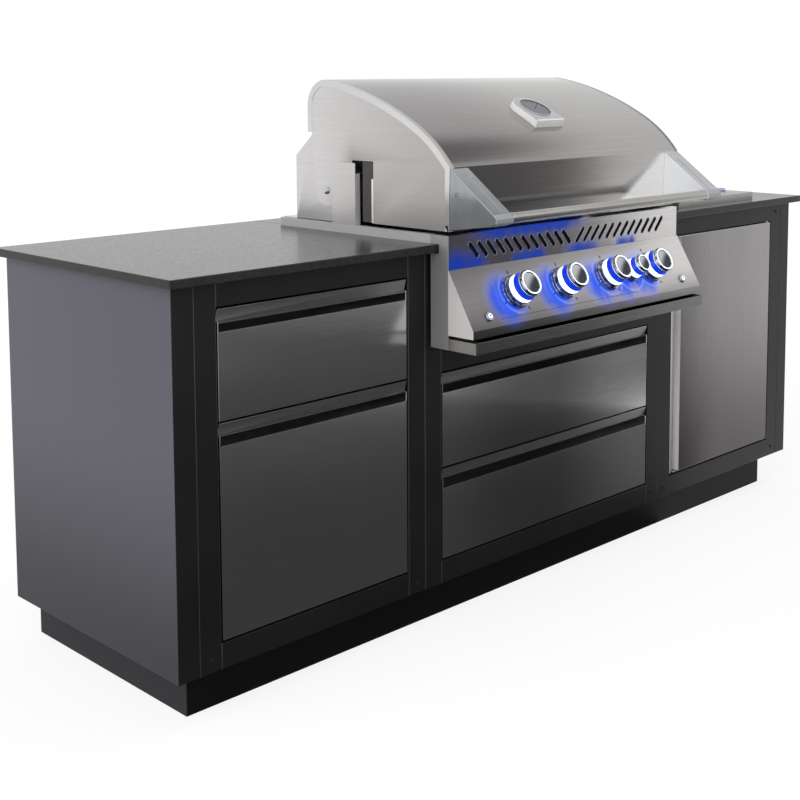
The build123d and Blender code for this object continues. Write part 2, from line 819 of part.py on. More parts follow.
with BuildLine(Plane.YZ) as crown_line:
    TangentArc(crown, shoulder, tangent=crown_direction)
gauge_point = crown_line.line @ gauge_along
gauge_down = crown_line.line % gauge_along
gauge_plane = Plane(gauge_point, x_dir=(1, 0, 0), z_dir=Vector(1, 0, 0).cross(-gauge_down))

skin_half = lid_half - lid_rim
with BuildPart() as skin:
    lid_block(-skin_half, skin_half)
    open_faces = skin.faces().filter_by(Axis.X) + skin.faces().sort_by(Axis.Z)[:1]
    offset(amount=-lid_sheet, openings=open_faces)
    span((-skin_half, back_corner[0] - 2 * lid_sheet, lid_bottom - lid_sheet),
         (skin_half, back_corner[0] + lid_sheet, back_edge), mode=Mode.SUBTRACT)
    with BuildSketch(gauge_plane) as probe_hole:
        Circle(gauge_probe_radius + gauge_seat_gap)
    extrude(probe_hole.sketch, amount=4 * lid_sheet, both=True, mode=Mode.SUBTRACT)
save("lid_skin", skin.part)

# Lid sides: dished ends with a bevelled rim, a lobe round the pivot and a slot for the spit
slot_top = lid_bottom + rod_slot_rise
slot_foot = lid_bottom + rod_slot_foot
cut_low = lid_bottom - lid_sheet
cut_back = back_corner[0] + lid_sheet
diagonal = lobe_radius * cos(radians(45))
with BuildPart() as lid_side:
    lid_block(-lid_half, -skin_half)
    outer_face = lid_side.faces().sort_by(Axis.X)[0]
    rim_edges = outer_face.edges().sort_by(Axis.Z)[1:]
    chamfer(rim_edges, length=lid_rim - 2 * lid_sheet)
    open_faces = lid_side.faces().sort_by(Axis.X)[-1:] + lid_side.faces().sort_by(Axis.Z)[:1]
    offset(amount=-lid_sheet, openings=open_faces)
    with BuildSketch(Plane.YZ.offset(-lid_half - lid_sheet)) as cutaway:
        with BuildLine():
            Polyline((front + rod_slot_back, slot_top), (front + rod_slot_front, slot_top),
                     (front + rod_slot_front, cut_low), (cut_back, cut_low), (cut_back, back_edge),
                     (back_corner[0] - lid_rim, back_edge), (pivot[0] + lobe_radius, pivot[1]))
            ThreePointArc((pivot[0] + lobe_radius, pivot[1]), (pivot[0] + diagonal, pivot[1] - diagonal),
                          (pivot[0], pivot[1] - lobe_radius))
            Polyline((pivot[0], pivot[1] - lobe_radius), (front + rod_slot_back, slot_foot),
                     (front + rod_slot_back, slot_top))
        make_face()
    extrude(cutaway.sketch, amount=lid_rim + 2 * lid_sheet, mode=Mode.SUBTRACT)
    with BuildSketch(Plane.YZ.offset(-lid_half - lid_sheet)) as pivot_hole:
        with Locations(pivot):
            Circle(pivot_radius + running_clearance)
    extrude(pivot_hole.sketch, amount=lid_rim + 2 * lid_sheet, mode=Mode.SUBTRACT)
save("lid_sides", *both_sides(lid_side.part))

# Handle bar between two tapering brackets on the lid's front panel
handle_y = front - lid_reach - handle_out
handle_z = lid_bottom + handle_rise
lean_rate = lid_lean / brow_rise
bracket_back_low = (lid_foot[0] - lean_rate * lid_sheet, lid_bottom + lid_sheet)
bracket_back_high = (brow[0] + lean_rate * lid_sheet, brow[1] - lid_sheet)
with BuildPart() as bracket:
    with BuildSketch(Plane.YZ.offset(-lid_half)) as bracket_outline:
        with BuildLine():
            Polyline(bracket_back_high, bracket_back_low,
                     (handle_y + nose_radius / 2, handle_z - 1.25 * nose_radius),
                     (handle_y - nose_radius, handle_z - 0.7 * nose_radius),
                     (handle_y - nose_radius, handle_z + nose_radius / 4),
                     (handle_y - nose_radius / 4, handle_z + 0.9 * nose_radius), close=True)
        make_face()
    extrude(bracket_outline.sketch, amount=bracket_width)
    offset(amount=-bracket_wall, openings=bracket.faces().sort_by(Axis.Y)[-1])
    nose_edges = bracket.edges().filter_by(Axis.X).sort_by(Axis.Y)[:4]
    fillet(nose_edges, nose_radius / 4)
save("lid_handle_brackets", *both_sides(bracket.part))

bar_half = lid_half - bracket_width
with BuildPart() as bar:
    with BuildSketch(Plane.YZ.offset(-bar_half)) as bar_outline:
        with Locations((handle_y, handle_z)):
            Circle(handle_radius)
            Circle(handle_radius - sheet, mode=Mode.SUBTRACT)
    extrude(bar_outline.sketch, amount=2 * bar_half)
save("lid_handle_bar", bar.part)

# Temperature gauge: a shield-shaped housing seated on the lid's curve, with a probe through the lid
with BuildPart() as lid_form:
    lid_block(-gauge_width, gauge_width)
gauge_seat = lid_form.part.moved(Location(gauge_plane.z_dir * gauge_seat_gap))
with BuildPart() as gauge:
    with BuildSketch(gauge_plane.offset(-gauge_skirt)) as housing:
        with BuildLine():
            Polyline((-gauge_width / 2, 0), (-gauge_width / 2, -gauge_height / 2),
                     (gauge_width / 2, -gauge_height / 2), (gauge_width / 2, 0))
            ThreePointArc((gauge_width / 2, 0), (0, gauge_height / 2), (-gauge_width / 2, 0))
        make_face()
    extrude(housing.sketch, amount=gauge_skirt + gauge_thickness, taper=gauge_wall_lean)
    housing_top = gauge.faces().sort_by(Axis(gauge_point, gauge_plane.z_dir))[-1]
    chamfer(housing_top.edges(), gauge_bevel)
    with BuildSketch(gauge_plane.offset(gauge_thickness)) as dial_seat:
        Circle(gauge_dial_radius)
    extrude(dial_seat.sketch, amount=-gauge_dial_depth, mode=Mode.SUBTRACT)
    add(gauge_seat, mode=Mode.SUBTRACT)
    with BuildSketch(gauge_plane.offset(gauge_thickness / 3)) as probe:
        Circle(gauge_probe_radius)
    extrude(probe.sketch, amount=-gauge_thickness / 3 - gauge_height / 2)
save("lid_gauge", gauge.part)

# Fixed rear hood that carries the lid's pivots, kept inside the lid's swing
hood_half = lid_half - lid_sheet - hood_inset
lid_swing = Vector(back_corner[0] - lid_rim - pivot[0], back_edge - pivot[1]).length
hood_reach = lid_swing - swing_clearance


def round_pivot(angle):
    return (pivot[0] + hood_reach * cos(radians(angle)), pivot[1] + hood_reach * sin(radians(angle)))


hood_top = round_pivot(hood_top_angle)
hood_corner = round_pivot(hood_corner_angle)
hood_foot = flange_top + sheet
hood_front = front + hood_front_back
with BuildPart() as hood:
    prism([hood_top, hood_corner, (hood_corner[0], hood_foot), (hood_front, hood_foot),
           (hood_front, pivot[1])], -hood_half, hood_half)
    hood_open = hood.faces().filter_by(lambda f: f.normal_at().Y < -0.1 or f.normal_at().Z < -0.9)
    offset(amount=-sheet, openings=hood_open)
    span((-hood_half, hood_corner[0] - sheet, flange_top), (hood_half, flange_back - sheet, hood_foot))
    with BuildSketch(Plane.YZ.offset(-hood_half)) as bolt_holes:
        with Locations(pivot):
            Circle(pivot_radius + running_clearance)
    extrude(bolt_holes.sketch, amount=2 * hood_half, mode=Mode.SUBTRACT)
save("rear_hood", hood.part)

bolt_inside = hood_half - sheet
bolt_head_start = lid_half + bush_clearance
with BuildPart() as bolt:
    for radius, x_low, x_high in (
        (pivot_head_radius, -bolt_head_start - pivot_head_height, -bolt_head_start),
        (pivot_radius, -bolt_head_start, -bolt_inside),
        (pivot_head_radius, -bolt_inside, -bolt_inside + pivot_head_radius),
    ):
        with BuildSketch(Plane.YZ.offset(x_low)) as bolt_section:
            with Locations(pivot):
                Circle(radius)
        extrude(bolt_section.sketch, amount=x_high - x_low)
save("lid_pivot_bolts", *both_sides(bolt.part))

# Spit brackets standing on the flange beside the lid
spit_front = front + rod_slot_back - spit_fold_inset
spit_outer = grill_half - sheet
with BuildPart() as spit_bracket:
    span((-spit_outer, spit_front, flange_top),
         (-spit_outer + sheet, spit_front + spit_plate_width, flange_top + spit_plate_height))
    span((-spit_outer + sheet, spit_front, flange_top),
         (-spit_outer + sheet + spit_fold_width, spit_front + sheet, flange_top + spit_fold_height))
save("spit_brackets", *both_sides(spit_bracket.part))

# Warming rack and infrared rear burner, both fixed to the rear hood's back wall
hood_wall = hood_corner[0] - sheet
burner_low = hood_foot + rear_burner_lift
rack_z = burner_low + rear_burner_height + rack_gap + rack_bar
rack_step = (rack_width - rack_bar) / (rack_bar_count - 1)
with BuildPart() as rack:
    for i in range(rack_bar_count):
        x = -rack_width / 2 + i * rack_step
        span((x, hood_wall - rack_depth, rack_z), (x + rack_bar, hood_wall, rack_z + rack_bar))
    for y in (hood_wall - rack_depth, hood_wall - rack_depth / 2):
        span((-rack_width / 2, y, rack_z - rack_bar), (rack_width / 2, y + rack_bar, rack_z))
save("warming_rack", rack.part)

with BuildPart() as rear_burner:
    span((-rear_burner_width / 2, hood_wall - rear_burner_depth, burner_low),
         (rear_burner_width / 2, hood_wall, burner_low + rear_burner_height))
save("rear_burner", rear_burner.part)

# Side burner: pan with a control strip, ring burner, grate, hinged lid and dial
rim_top = flange_top
well_x = (burner_x - burner_half + side_lid_border + side_lid_ledge,
          burner_x + burner_half - side_burner_control - side_lid_ledge)
well_y = (burner_front + side_lid_border + side_lid_ledge, burner_back - side_lid_border - side_lid_ledge)
seat_x = (well_x[0] - side_lid_ledge, well_x[1] + side_lid_ledge)
seat_y = (well_y[0] - side_lid_ledge, well_y[1] + side_lid_ledge)
well_floor = counter_height - side_burner_well
seat_z = rim_top - side_lid_thickness - ledge_clearance
lid_pin = (seat_y[1] - side_lid_gap - side_lid_thickness / 2, rim_top - side_lid_thickness / 2)
with BuildPart() as pan:
    span((burner_x - burner_half, burner_front, counter_height), (burner_x + burner_half, burner_back, rim_top))
    span((well_x[0] - sheet, well_y[0] - sheet, well_floor - sheet),
         (well_x[1] + sheet, well_y[1] + sheet, counter_height))
    span((well_x[0], well_y[0], well_floor), (well_x[1], well_y[1], rim_top), mode=Mode.SUBTRACT)
    span((seat_x[0], seat_y[0], seat_z), (seat_x[1], seat_y[1], rim_top), mode=Mode.SUBTRACT)
    for x_low in (seat_x[0], seat_x[1] - side_pin_length):
        with BuildSketch(Plane.YZ.offset(x_low)) as pin_outline:
            with Locations(lid_pin):
                Circle(side_pin_radius)
        extrude(pin_outline.sketch, amount=side_pin_length)
    with BuildSketch(Plane.XY.offset(rim_top)) as dial_post:
        with Locations((burner_x + burner_half - side_burner_control / 2, burner_front + side_knob_setback)):
            Circle(stem_radius)
    extrude(dial_post.sketch, amount=side_knob_height / 2)
save("side_burner_pan", pan.part)

with BuildPart() as side_lid:
    span((seat_x[0] + side_lid_gap, seat_y[0] + side_lid_gap, rim_top - side_lid_thickness),
         (seat_x[1] - side_lid_gap, seat_y[1] - side_lid_gap, rim_top))
    span((seat_x[0] + side_lid_wall, seat_y[0] + side_lid_wall, rim_top - side_lid_thickness),
         (seat_x[1] - side_lid_wall, seat_y[1] - side_lid_wall, rim_top - sheet), mode=Mode.SUBTRACT)
    hinge_edges = side_lid.faces().sort_by(Axis.Y)[-1].edges().filter_by(Axis.X)
    fillet(hinge_edges, side_lid_thickness / 2 - side_lid_thickness / 100)
    for x_low in (seat_x[0], seat_x[1] - side_pin_length - side_lid_gap):
        with BuildSketch(Plane.YZ.offset(x_low)) as pin_bore:
            with Locations(lid_pin):
                Circle(side_pin_radius + running_clearance)
        extrude(pin_bore.sketch, amount=side_pin_length + side_lid_gap, mode=Mode.SUBTRACT)
save("side_burner_lid", side_lid.part)

ring_x = (well_x[0] + well_x[1]) / 2
ring_y = (well_y[0] + well_y[1]) / 2
with BuildPart() as ring_burner:
    with BuildSketch(Plane.XY.offset(well_floor)):
        with Locations((ring_x, ring_y)):
            Circle(ring_burner_radius)
            Circle(ring_burner_radius / 2, mode=Mode.SUBTRACT)
    extrude(amount=ring_burner_height)
save("side_burner_ring", ring_burner.part)

grate_z = well_floor + ring_burner_height + grate_bar
grate_step = (well_y[1] - well_y[0] - grate_bar) / (grate_bar_count - 1)
with BuildPart() as grate:
    for i in range(grate_bar_count):
        y = well_y[0] + i * grate_step
        span((well_x[0], y, grate_z), (well_x[1], y + grate_bar, grate_z + grate_bar))
    span((ring_x - grate_bar / 2, well_y[0], grate_z), (ring_x + grate_bar / 2, well_y[1], grate_z + grate_bar))
save("side_burner_grate", grate.part)

dial_x = burner_x + burner_half - side_burner_control / 2
dial_y = burner_front + side_knob_setback
with BuildPart() as dial:
    with BuildSketch(Plane.XY.offset(rim_top + ledge_clearance)):
        with Locations((dial_x, dial_y)):
            Circle(side_knob_radius)
    extrude(amount=side_knob_height)
    fillet(dial.faces().sort_by(Axis.Z)[-1].edges(), side_knob_height / 4)
    with BuildSketch(Plane.XY.offset(rim_top)):
        with Locations((dial_x, dial_y)):
            Circle(stem_radius + running_clearance)
    extrude(amount=side_knob_height / 2 + ledge_clearance, mode=Mode.SUBTRACT)
save("side_burner_dial", dial.part)
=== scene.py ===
import json
import math
import bpy
from mathutils import Matrix, Vector


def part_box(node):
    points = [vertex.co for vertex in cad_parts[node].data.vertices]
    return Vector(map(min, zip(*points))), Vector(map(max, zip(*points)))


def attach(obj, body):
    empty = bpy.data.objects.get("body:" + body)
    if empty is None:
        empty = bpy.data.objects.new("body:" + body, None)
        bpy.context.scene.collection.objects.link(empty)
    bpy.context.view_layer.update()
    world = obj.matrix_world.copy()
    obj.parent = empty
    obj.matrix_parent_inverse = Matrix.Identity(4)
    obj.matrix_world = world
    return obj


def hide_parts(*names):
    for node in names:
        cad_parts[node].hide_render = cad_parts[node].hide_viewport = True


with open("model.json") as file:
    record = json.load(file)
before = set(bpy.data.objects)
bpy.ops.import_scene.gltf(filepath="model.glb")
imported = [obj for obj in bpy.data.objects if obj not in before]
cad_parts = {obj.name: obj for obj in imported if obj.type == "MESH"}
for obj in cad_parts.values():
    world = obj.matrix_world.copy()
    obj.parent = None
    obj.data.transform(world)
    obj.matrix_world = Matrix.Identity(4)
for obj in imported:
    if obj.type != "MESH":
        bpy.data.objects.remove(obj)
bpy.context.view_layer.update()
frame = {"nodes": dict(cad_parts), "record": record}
behaviour = frame["record"]["behaviour"]
jointOf = {joint["child"]: joint for joint in behaviour["joints"]}
nodeBody = {node: body for body, nodes in behaviour["bodies"].items() for node in nodes}
nodeSlot = {row["node"]: row["material_slot"] for row in frame["record"]["subparts"]}
print("frame loaded")


class Wire:  # a socket that can stand in sums
    def __init__(self, tree, socket=None):
        self.tree = tree
        self.socket = socket

    def node(self, kind, settings, sockets, out=0):
        made = self.tree.nodes.new(kind)
        for name, value in settings.items():
            setattr(made, name, value)
        for name, value in sockets.items():
            if isinstance(value, Wire):
                self.tree.links.new(value.socket, made.inputs[name])
            else:
                made.inputs[name].default_value = value
        return Wire(self.tree, made.outputs[out])

    def math(self, operation, *terms):
        return self.node("ShaderNodeMath", {"operation": operation}, dict(enumerate(terms)))

    def __add__(self, other):
        return self.math("ADD", self, other)

    def __sub__(self, other):
        return self.math("SUBTRACT", self, other)

    def __rsub__(self, other):
        return self.math("SUBTRACT", other, self)

    def __mul__(self, other):
        return self.math("MULTIPLY", self, other)

    __radd__ = __add__
    __rmul__ = __mul__


def startFinish(name, fixed):
    material = bpy.data.materials.new(name)
    material.use_nodes = True
    tree = material.node_tree
    shader = tree.nodes["Principled BSDF"]
    for socketName, value in fixed.items():
        shader.inputs[socketName].default_value = value
    place = Wire(tree).node("ShaderNodeTexCoord", {}, {}, "Object")
    return material, place, shader


def feed(shader, socketName, wire):
    wire.tree.links.new(wire.socket, shader.inputs[socketName])


def stretched(place, scale):
    return place.node("ShaderNodeMapping", {}, {"Vector": place, "Scale": scale})


def cloud(place, scale, detail=2.0):
    return place.node("ShaderNodeTexNoise", {}, {"Vector": place, "Scale": scale, "Detail": detail}, "Fac")


def graded(value, low, high):  # 0 below low, 1 above high, eased between
    settings = {"interpolation_type": "SMOOTHSTEP"}
    return value.node("ShaderNodeMapRange", settings, {"Value": value, "From Min": low, "From Max": high})


def blended(factor, first, second):
    first = first if isinstance(first, Wire) else (*first, 1)
    second = second if isinstance(second, Wire) else (*second, 1)
    return factor.node("ShaderNodeMix", {"data_type": "RGBA"}, {0: factor, 6: first, 7: second}, 2)


def bumped(shader, height, strength, distance):
    settings = {"Height": height, "Strength": strength, "Distance": distance}
    feed(shader, "Normal", height.node("ShaderNodeBump", {}, settings))


def fedBy(shader, socketName):
    return Wire(shader.id_data, shader.inputs[socketName].links[0].from_socket)


def axisOf(place, letter):
    return place.node("ShaderNodeSeparateXYZ", {}, {"Vector": place}, letter)


def faded(place, letter, span, first, second):  # one colour runs into another along an axis
    return blended(graded(axisOf(place, letter), *span), first, second)


def washed(colour, paintedLight):  # one colour times another
    settings = {"data_type": "RGBA", "blend_type": "MULTIPLY"}
    return colour.node("ShaderNodeMix", settings, {0: 1.0, 6: colour, 7: paintedLight}, 2)


brushing = {"fine": 1500, "fineAlong": 16, "broad": 240, "broadAlong": 3, "smear": 2.2, "contrast": (0.3, 0.72)}


def brushedSteel(name, dark, light, along, roughness, paintedLight=None):  # along is the axis that the brushing follows
    material, place, shader = startFinish(name, {"Metallic": 1.0, "Anisotropic": 0.4})
    fineScale = [brushing["fine"]] * 3
    broadScale = [brushing["broad"]] * 3
    fineScale[along] = brushing["fineAlong"]
    broadScale[along] = brushing["broadAlong"]
    fine = cloud(stretched(place, fineScale), 1.0, 3.0)
    broad = cloud(stretched(place, broadScale), 1.0)
    smear = cloud(place, brushing["smear"])
    lines = fine * 0.45 + broad * 0.3 + smear * 0.25
    colour = blended(graded(lines, *brushing["contrast"]), dark, light)
    # painted reflection and shade, multiplied into the brushed colour
    if paintedLight:
        colour = washed(colour, paintedLight(place))
    feed(shader, "Base Color", colour)
    feed(shader, "Roughness", roughness - 0.05 + fine * 0.08 + smear * 0.03)
    bumped(shader, fine, 0.06, 0.0002)
    return material, place, shader


def nearest(place, spots, close, reach):  # 1 at any of the spots, 0 beyond the reach
    glow = None
    for spot in spots:
        away = place.node("ShaderNodeVectorMath", {"operation": "DISTANCE"}, {0: place, 1: spot}, "Value")
        near = 1 - graded(away, close, reach)
        glow = near if glow is None else glow.math("MAXIMUM", glow, near)
    return glow


knobLight = {  # blue light that the lit knobs throw on the sheets
    "streaks": (34, 3, 3), "stain": (0.03, 0.045, 0.12), "blue": (0.014, 0.1, 1.0), "strength": 0.8,
    "shift": (-0.038, -0.006, -0.011), "reach": (0.02, 0.1),
    "arc": (0.4, 0.55, 1.0), "arcInner": (0.05, 0.056), "arcOuter": (0.056, 0.06),
    "lidBand": (-0.16, 0.28, 0.99, 0.945), "lidStrength": 0.14,
    "ventBand": (-0.16, 0.3, 0.045), "ventStrength": 0.34,  # middle, half its length, height
    "ventPatches": ((-0.41, 0.13, 0.075), (-0.17, 0.1, 0.045), (0.04, 0.1, 0.05), (0.22, 0.07, 0.045)),
}


def glowBand(place, middle, half, dim, bright):  # a band across the sheet that fades out at both ends
    across = axisOf(place, "X") - middle
    fade = 1 - graded(across.math("ABSOLUTE", across), half * 0.3, half)
    return fade * graded(axisOf(place, "Z"), dim, bright)


# painted glow: where the lit knobs' light falls, the steel's colour turns a dark blue tint and it emits blue
def knobGlow(shader, place, glow, strength):
    streak = cloud(stretched(place, knobLight["streaks"]), 1.0)
    glow = glow * (0.45 + streak * 0.95)
    steel = fedBy(shader, "Base Color")
    feed(shader, "Base Color", blended(graded(glow, 0.25, 0.95), steel, knobLight["stain"]))
    feed(shader, "Emission Color", blended(graded(glow, 0.05, 1.1), (0, 0, 0), knobLight["blue"]))
    shader.inputs["Emission Strength"].default_value = strength


firstKnob = jointOf["burner_knob_1"]
slope = {  # the sloping control panel, with the places of its knobs and buttons
    "spot": Vector((0, *firstKnob["pos_m"][1:])), "out": Vector(firstKnob["axis"]), "knobDown": 0.076,
    "big": [jointOf[f"burner_knob_{number}"]["pos_m"][0] for number in (1, 2, 3, 4)],
    "small": jointOf["rear_burner_knob"]["pos_m"][0],
    "buttons": (-0.384, 0.384), "buttonDown": 0.122,
}
slope["down"] = Vector((0, -slope["out"].z, slope["out"].y))


def onSlope(x, down, lift=0.0):  # places a piece made on the floor on the panel, upright to its face
    spot = slope["spot"] + slope["down"] * (down - slope["knobDown"]) + slope["out"] * lift
    up = -slope["down"]
    axes = Matrix((Vector((1, 0, 0)), up, slope["out"])).transposed()
    return Matrix.Translation((x, spot.y, spot.z)) @ axes.to_4x4()


knobSpots = [tuple(onSlope(x, slope["knobDown"], 0.02).translation) for x in (*slope["big"], slope["small"])]

coat = {"dark": (0.0055, 0.005, 0.006), "light": (0.0105, 0.0095, 0.0115), "grain": 1100.0, "sheen": 0.3,
        "foldDark": (0.036, 0.033, 0.036), "foldLight": (0.06, 0.056, 0.062), "foldSheen": 0.5}
charcoalCoat, place, shader = startFinish("charcoalCoat", {"Specular IOR Level": coat["sheen"]})
grain = cloud(place, coat["grain"], 3.0)
patch = cloud(place, 5.0)
feed(shader, "Base Color", blended(graded(grain * 0.6 + patch * 0.4, 0.35, 0.65), coat["dark"], coat["light"]))
feed(shader, "Roughness", 0.36 + grain * 0.16)
bumped(shader, grain, 0.25, 0.0003)

# painted highlight: the frames' rounded edges take a paler copy of the coat
edgeCoat, place, shader = startFinish("edgeCoat", {"Specular IOR Level": coat["foldSheen"]})
grain = cloud(place, coat["grain"], 3.0)
feed(shader, "Base Color", blended(grain, coat["foldDark"], coat["foldLight"]))
feed(shader, "Roughness", 0.3 + grain * 0.12)

# painted light and shade: the end panels' sides take a far paler copy of the charcoal coat, darker towards the
# floor
litSideCoat = {"dark": (0.008, 0.008, 0.011), "light": (0.096, 0.094, 0.118), "grain": 700.0, "fade": (0.07, 0.6),
            "sheen": 0.26}
endCoat, place, shader = startFinish("endCoat", {"Specular IOR Level": litSideCoat["sheen"]})
grain = cloud(place, litSideCoat["grain"], 3.0)
tone = graded(axisOf(place, "Z"), *litSideCoat["fade"]) * 0.85 + grain * 0.25
feed(shader, "Base Color", blended(tone, litSideCoat["dark"], litSideCoat["light"]))
feed(shader, "Roughness", 0.34 + grain * 0.16)
bumped(shader, grain, 0.35, 0.0005)

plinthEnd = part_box("plinth_boards")[1].x
plinth = {"ends": (plinthEnd - 0.002, plinthEnd - 0.0005), "endTone": (0.024, 0.024, 0.029), "sheen": 0.1}
plinthCoat, place, shader = startFinish("plinthCoat", {"Specular IOR Level": plinth["sheen"]})
grain = cloud(place, coat["grain"], 3.0)
across = axisOf(place, "X")
outer = graded(across.math("ABSOLUTE", across), *plinth["ends"])  # painted light: the end boards are paler
feed(shader, "Base Color", blended(outer, blended(grain, coat["dark"], coat["light"]), plinth["endTone"]))
feed(shader, "Roughness", 0.36 + grain * 0.16)
bumped(shader, grain, 0.25, 0.0003)

stone = {"dark": (0.008, 0.008, 0.009), "light": (0.03, 0.029, 0.032), "speck": 520.0, "hollow": 90.0,
         "contrast": (0.38, 0.66)}


def stoneFinish(name, sheen, roughness):
    material, place, shader = startFinish(name, {"Specular IOR Level": sheen})
    speck = cloud(place, stone["speck"], 4.0)
    hollow = cloud(place, stone["hollow"], 3.0)
    crystals = graded(speck * 0.7 + hollow * 0.3, *stone["contrast"])
    feed(shader, "Base Color", blended(crystals, stone["dark"], stone["light"]))
    feed(shader, "Roughness", roughness + hollow * 0.16)
    bumped(shader, hollow * 0.7 + speck * 0.3, 0.1, 0.0008)
    return material


darkStone = stoneFinish("darkStone", 0.72, 0.17)
sawnStone = stoneFinish("sawnStone", 0.34, 0.34)

unchanged = (1, 1, 1)
# painted reflection and shade: these tables darken or brighten each steel's colour by place
doorTone = {"heights": (0.12, 0.66), "foot": (0.36, 0.34, 0.35),
            "across": (0.56, 0.9), "left": (1.35, 1.35, 1.35), "right": (0.92, 0.92, 0.92)}
panelTone = {"heights": (0.7, 0.79), "foot": (0.4, 0.39, 0.4),
             "across": (-0.5, 0.5), "left": (0.6, 0.59, 0.6), "right": (1.75, 1.73, 1.74)}
frontTone = {"darkens": (-0.45, -0.12), "dark": (0.66, 0.65, 0.66),
             "lightens": (-0.02, 0.36), "light": (1.55, 1.52, 1.55)}
louverTone = {"across": (-0.15, 0.4), "left": (0.9, 0.87, 0.95), "right": (3.0, 2.95, 2.96)}
sideTone = {"depths": (-0.3, 0.25), "front": (0.86, 0.845, 0.83), "back": (1.24, 1.25, 1.27)}
lidTone = {"across": (-0.3, 0.22), "left": (0.66, 0.65, 0.66), "gleam": (2.1, 2.1, 2.12), "gleamMatt": 0.92,
           "slant": 1.5, "slantEdge": (-1.275, -1.235), "crease": (1.08, 1.09)}


def paintedSheetLight(place, tone):  # painted shade and reflection: darker at the foot, another tone at each side
    rise = faded(place, "Z", tone["heights"], tone["foot"], unchanged)
    return washed(rise, faded(place, "X", tone["across"], tone["left"], tone["right"]))


def paintedDoorLight(place):
    return paintedSheetLight(place, doorTone)


def paintedPanelLight(place):
    return paintedSheetLight(place, panelTone)


# painted reflection: the drawer fronts darken towards the middle and brighten towards the right
def paintedFrontLight(place):
    dark = faded(place, "X", frontTone["darkens"], unchanged, frontTone["dark"])
    return faded(place, "X", frontTone["lightens"], dark, frontTone["light"])


# painted reflection: the vent panel brightens strongly towards the right
def paintedLouverLight(place):
    return faded(place, "X", louverTone["across"], louverTone["left"], louverTone["right"])


# painted light: darker towards the front, brighter towards the back
def paintedSideLight(place):
    return faded(place, "Y", sideTone["depths"], sideTone["front"], sideTone["back"])


def lidGleam(place):  # painted reflection: slanting bright patch on the lid's lower front, by the right bracket
    height = axisOf(place, "Z")
    slant = axisOf(place, "X") - height * lidTone["slant"]
    return graded(slant, *lidTone["slantEdge"]) * (1 - graded(height, *lidTone["crease"]))


# painted shade on the lid's left, with the painted reflection by the right bracket
def paintedLidLight(place):
    tone = faded(place, "X", lidTone["across"], lidTone["left"], unchanged)
    return blended(lidGleam(place), tone, lidTone["gleam"])


frontSteel = brushedSteel("frontSteel", (0.47, 0.467, 0.465), (0.55, 0.545, 0.54), 0, 0.16, paintedFrontLight)[0]
doorSteel = brushedSteel("doorSteel", (0.31, 0.297, 0.305), (0.37, 0.355, 0.362), 2, 0.24, paintedDoorLight)[0]
lidSteel, place, shader = brushedSteel("lidSteel", (0.4, 0.392, 0.38), (0.47, 0.462, 0.45), 0, 0.13, paintedLidLight)
feed(shader, "Metallic", 1 - lidGleam(place) * lidTone["gleamMatt"])
knobGlow(shader, place, glowBand(place, *knobLight["lidBand"]), knobLight["lidStrength"])
# copies of the drawer steel for the pulls: painted highlight on the lip, painted shade in the groove
lipSteel = brushedSteel("lipSteel", (0.36, 0.357, 0.355), (0.44, 0.436, 0.432), 0, 0.42)[0]
grooveSteel = brushedSteel("grooveSteel", (0.2, 0.197, 0.2), (0.26, 0.256, 0.26), 0, 0.3)[0]
# painted shade: the drip tray under the panel takes a darker copy of the steel
traySteel = brushedSteel("traySteel", (0.2, 0.197, 0.195), (0.27, 0.265, 0.262), 0, 0.26)[0]
rimSteel = brushedSteel("rimSteel", (0.6, 0.6, 0.605), (0.68, 0.68, 0.685), 1, 0.09)[0]
lidSideSteel = brushedSteel("lidSideSteel", (0.5, 0.487, 0.478), (0.58, 0.565, 0.555), 1, 0.3, paintedSideLight)[0]
plainSteel = brushedSteel("plainSteel", (0.34, 0.335, 0.33), (0.44, 0.43, 0.425), 0, 0.3)[0]
barSteel = brushedSteel("barSteel", (0.36, 0.35, 0.335), (0.48, 0.47, 0.45), 0, 0.24)[0]
zincSteel = brushedSteel("zincSteel", (0.3, 0.305, 0.31), (0.42, 0.42, 0.43), 1, 0.4)[0]
panelSteel, place, shader = brushedSteel("panelSteel", (0.36, 0.35, 0.345), (0.44, 0.43, 0.425), 0, 0.3,
                                         paintedPanelLight)
thrownSpots = [Vector(spot) + Vector(knobLight["shift"]) for spot in knobSpots]
throw = nearest(place, thrownSpots, *knobLight["reach"])
# painted glow: a pale ring of light round each knob on the panel
outside = 1 - nearest(place, knobSpots, *knobLight["arcInner"])
arc = nearest(place, knobSpots, *knobLight["arcOuter"]) * outside
knobGlow(shader, place, throw, knobLight["strength"])
lit = fedBy(shader, "Emission Color")
feed(shader, "Emission Color", blended(arc * graded(throw, 0.3, 0.9) * 0.4, lit, knobLight["arc"]))
louverSteel, place, shader = brushedSteel("louverSteel", (0.22, 0.215, 0.215), (0.28, 0.275, 0.27), 0, 0.24,
                                          paintedLouverLight)
low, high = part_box("louver_panel")
middle, half, tall = knobLight["ventBand"]
throw = glowBand(place, middle, half, high.z - tall, high.z)
for middle, half, tall in knobLight["ventPatches"]:
    throw = throw.math("MAXIMUM", throw, glowBand(place, middle, half, low.z + tall, low.z))
knobGlow(shader, place, throw, knobLight["ventStrength"])


def satin(name, dark, light, metal):  # bead-blasted steel that takes light from all sides; its palest copies are painted highlights
    material, place, shader = startFinish(name, {"Metallic": metal})
    bead = cloud(place, 900.0, 3.0)
    feed(shader, "Base Color", blended(bead, dark, light))
    feed(shader, "Roughness", 0.36 + bead * 0.15)
    bumped(shader, bead, 0.08, 0.0002)
    return material


# painted highlight: near-white satin laid on chosen edges and faces
paleEdge = satin("paleEdge", (0.78, 0.765, 0.755), (0.98, 0.965, 0.955), 0.3)
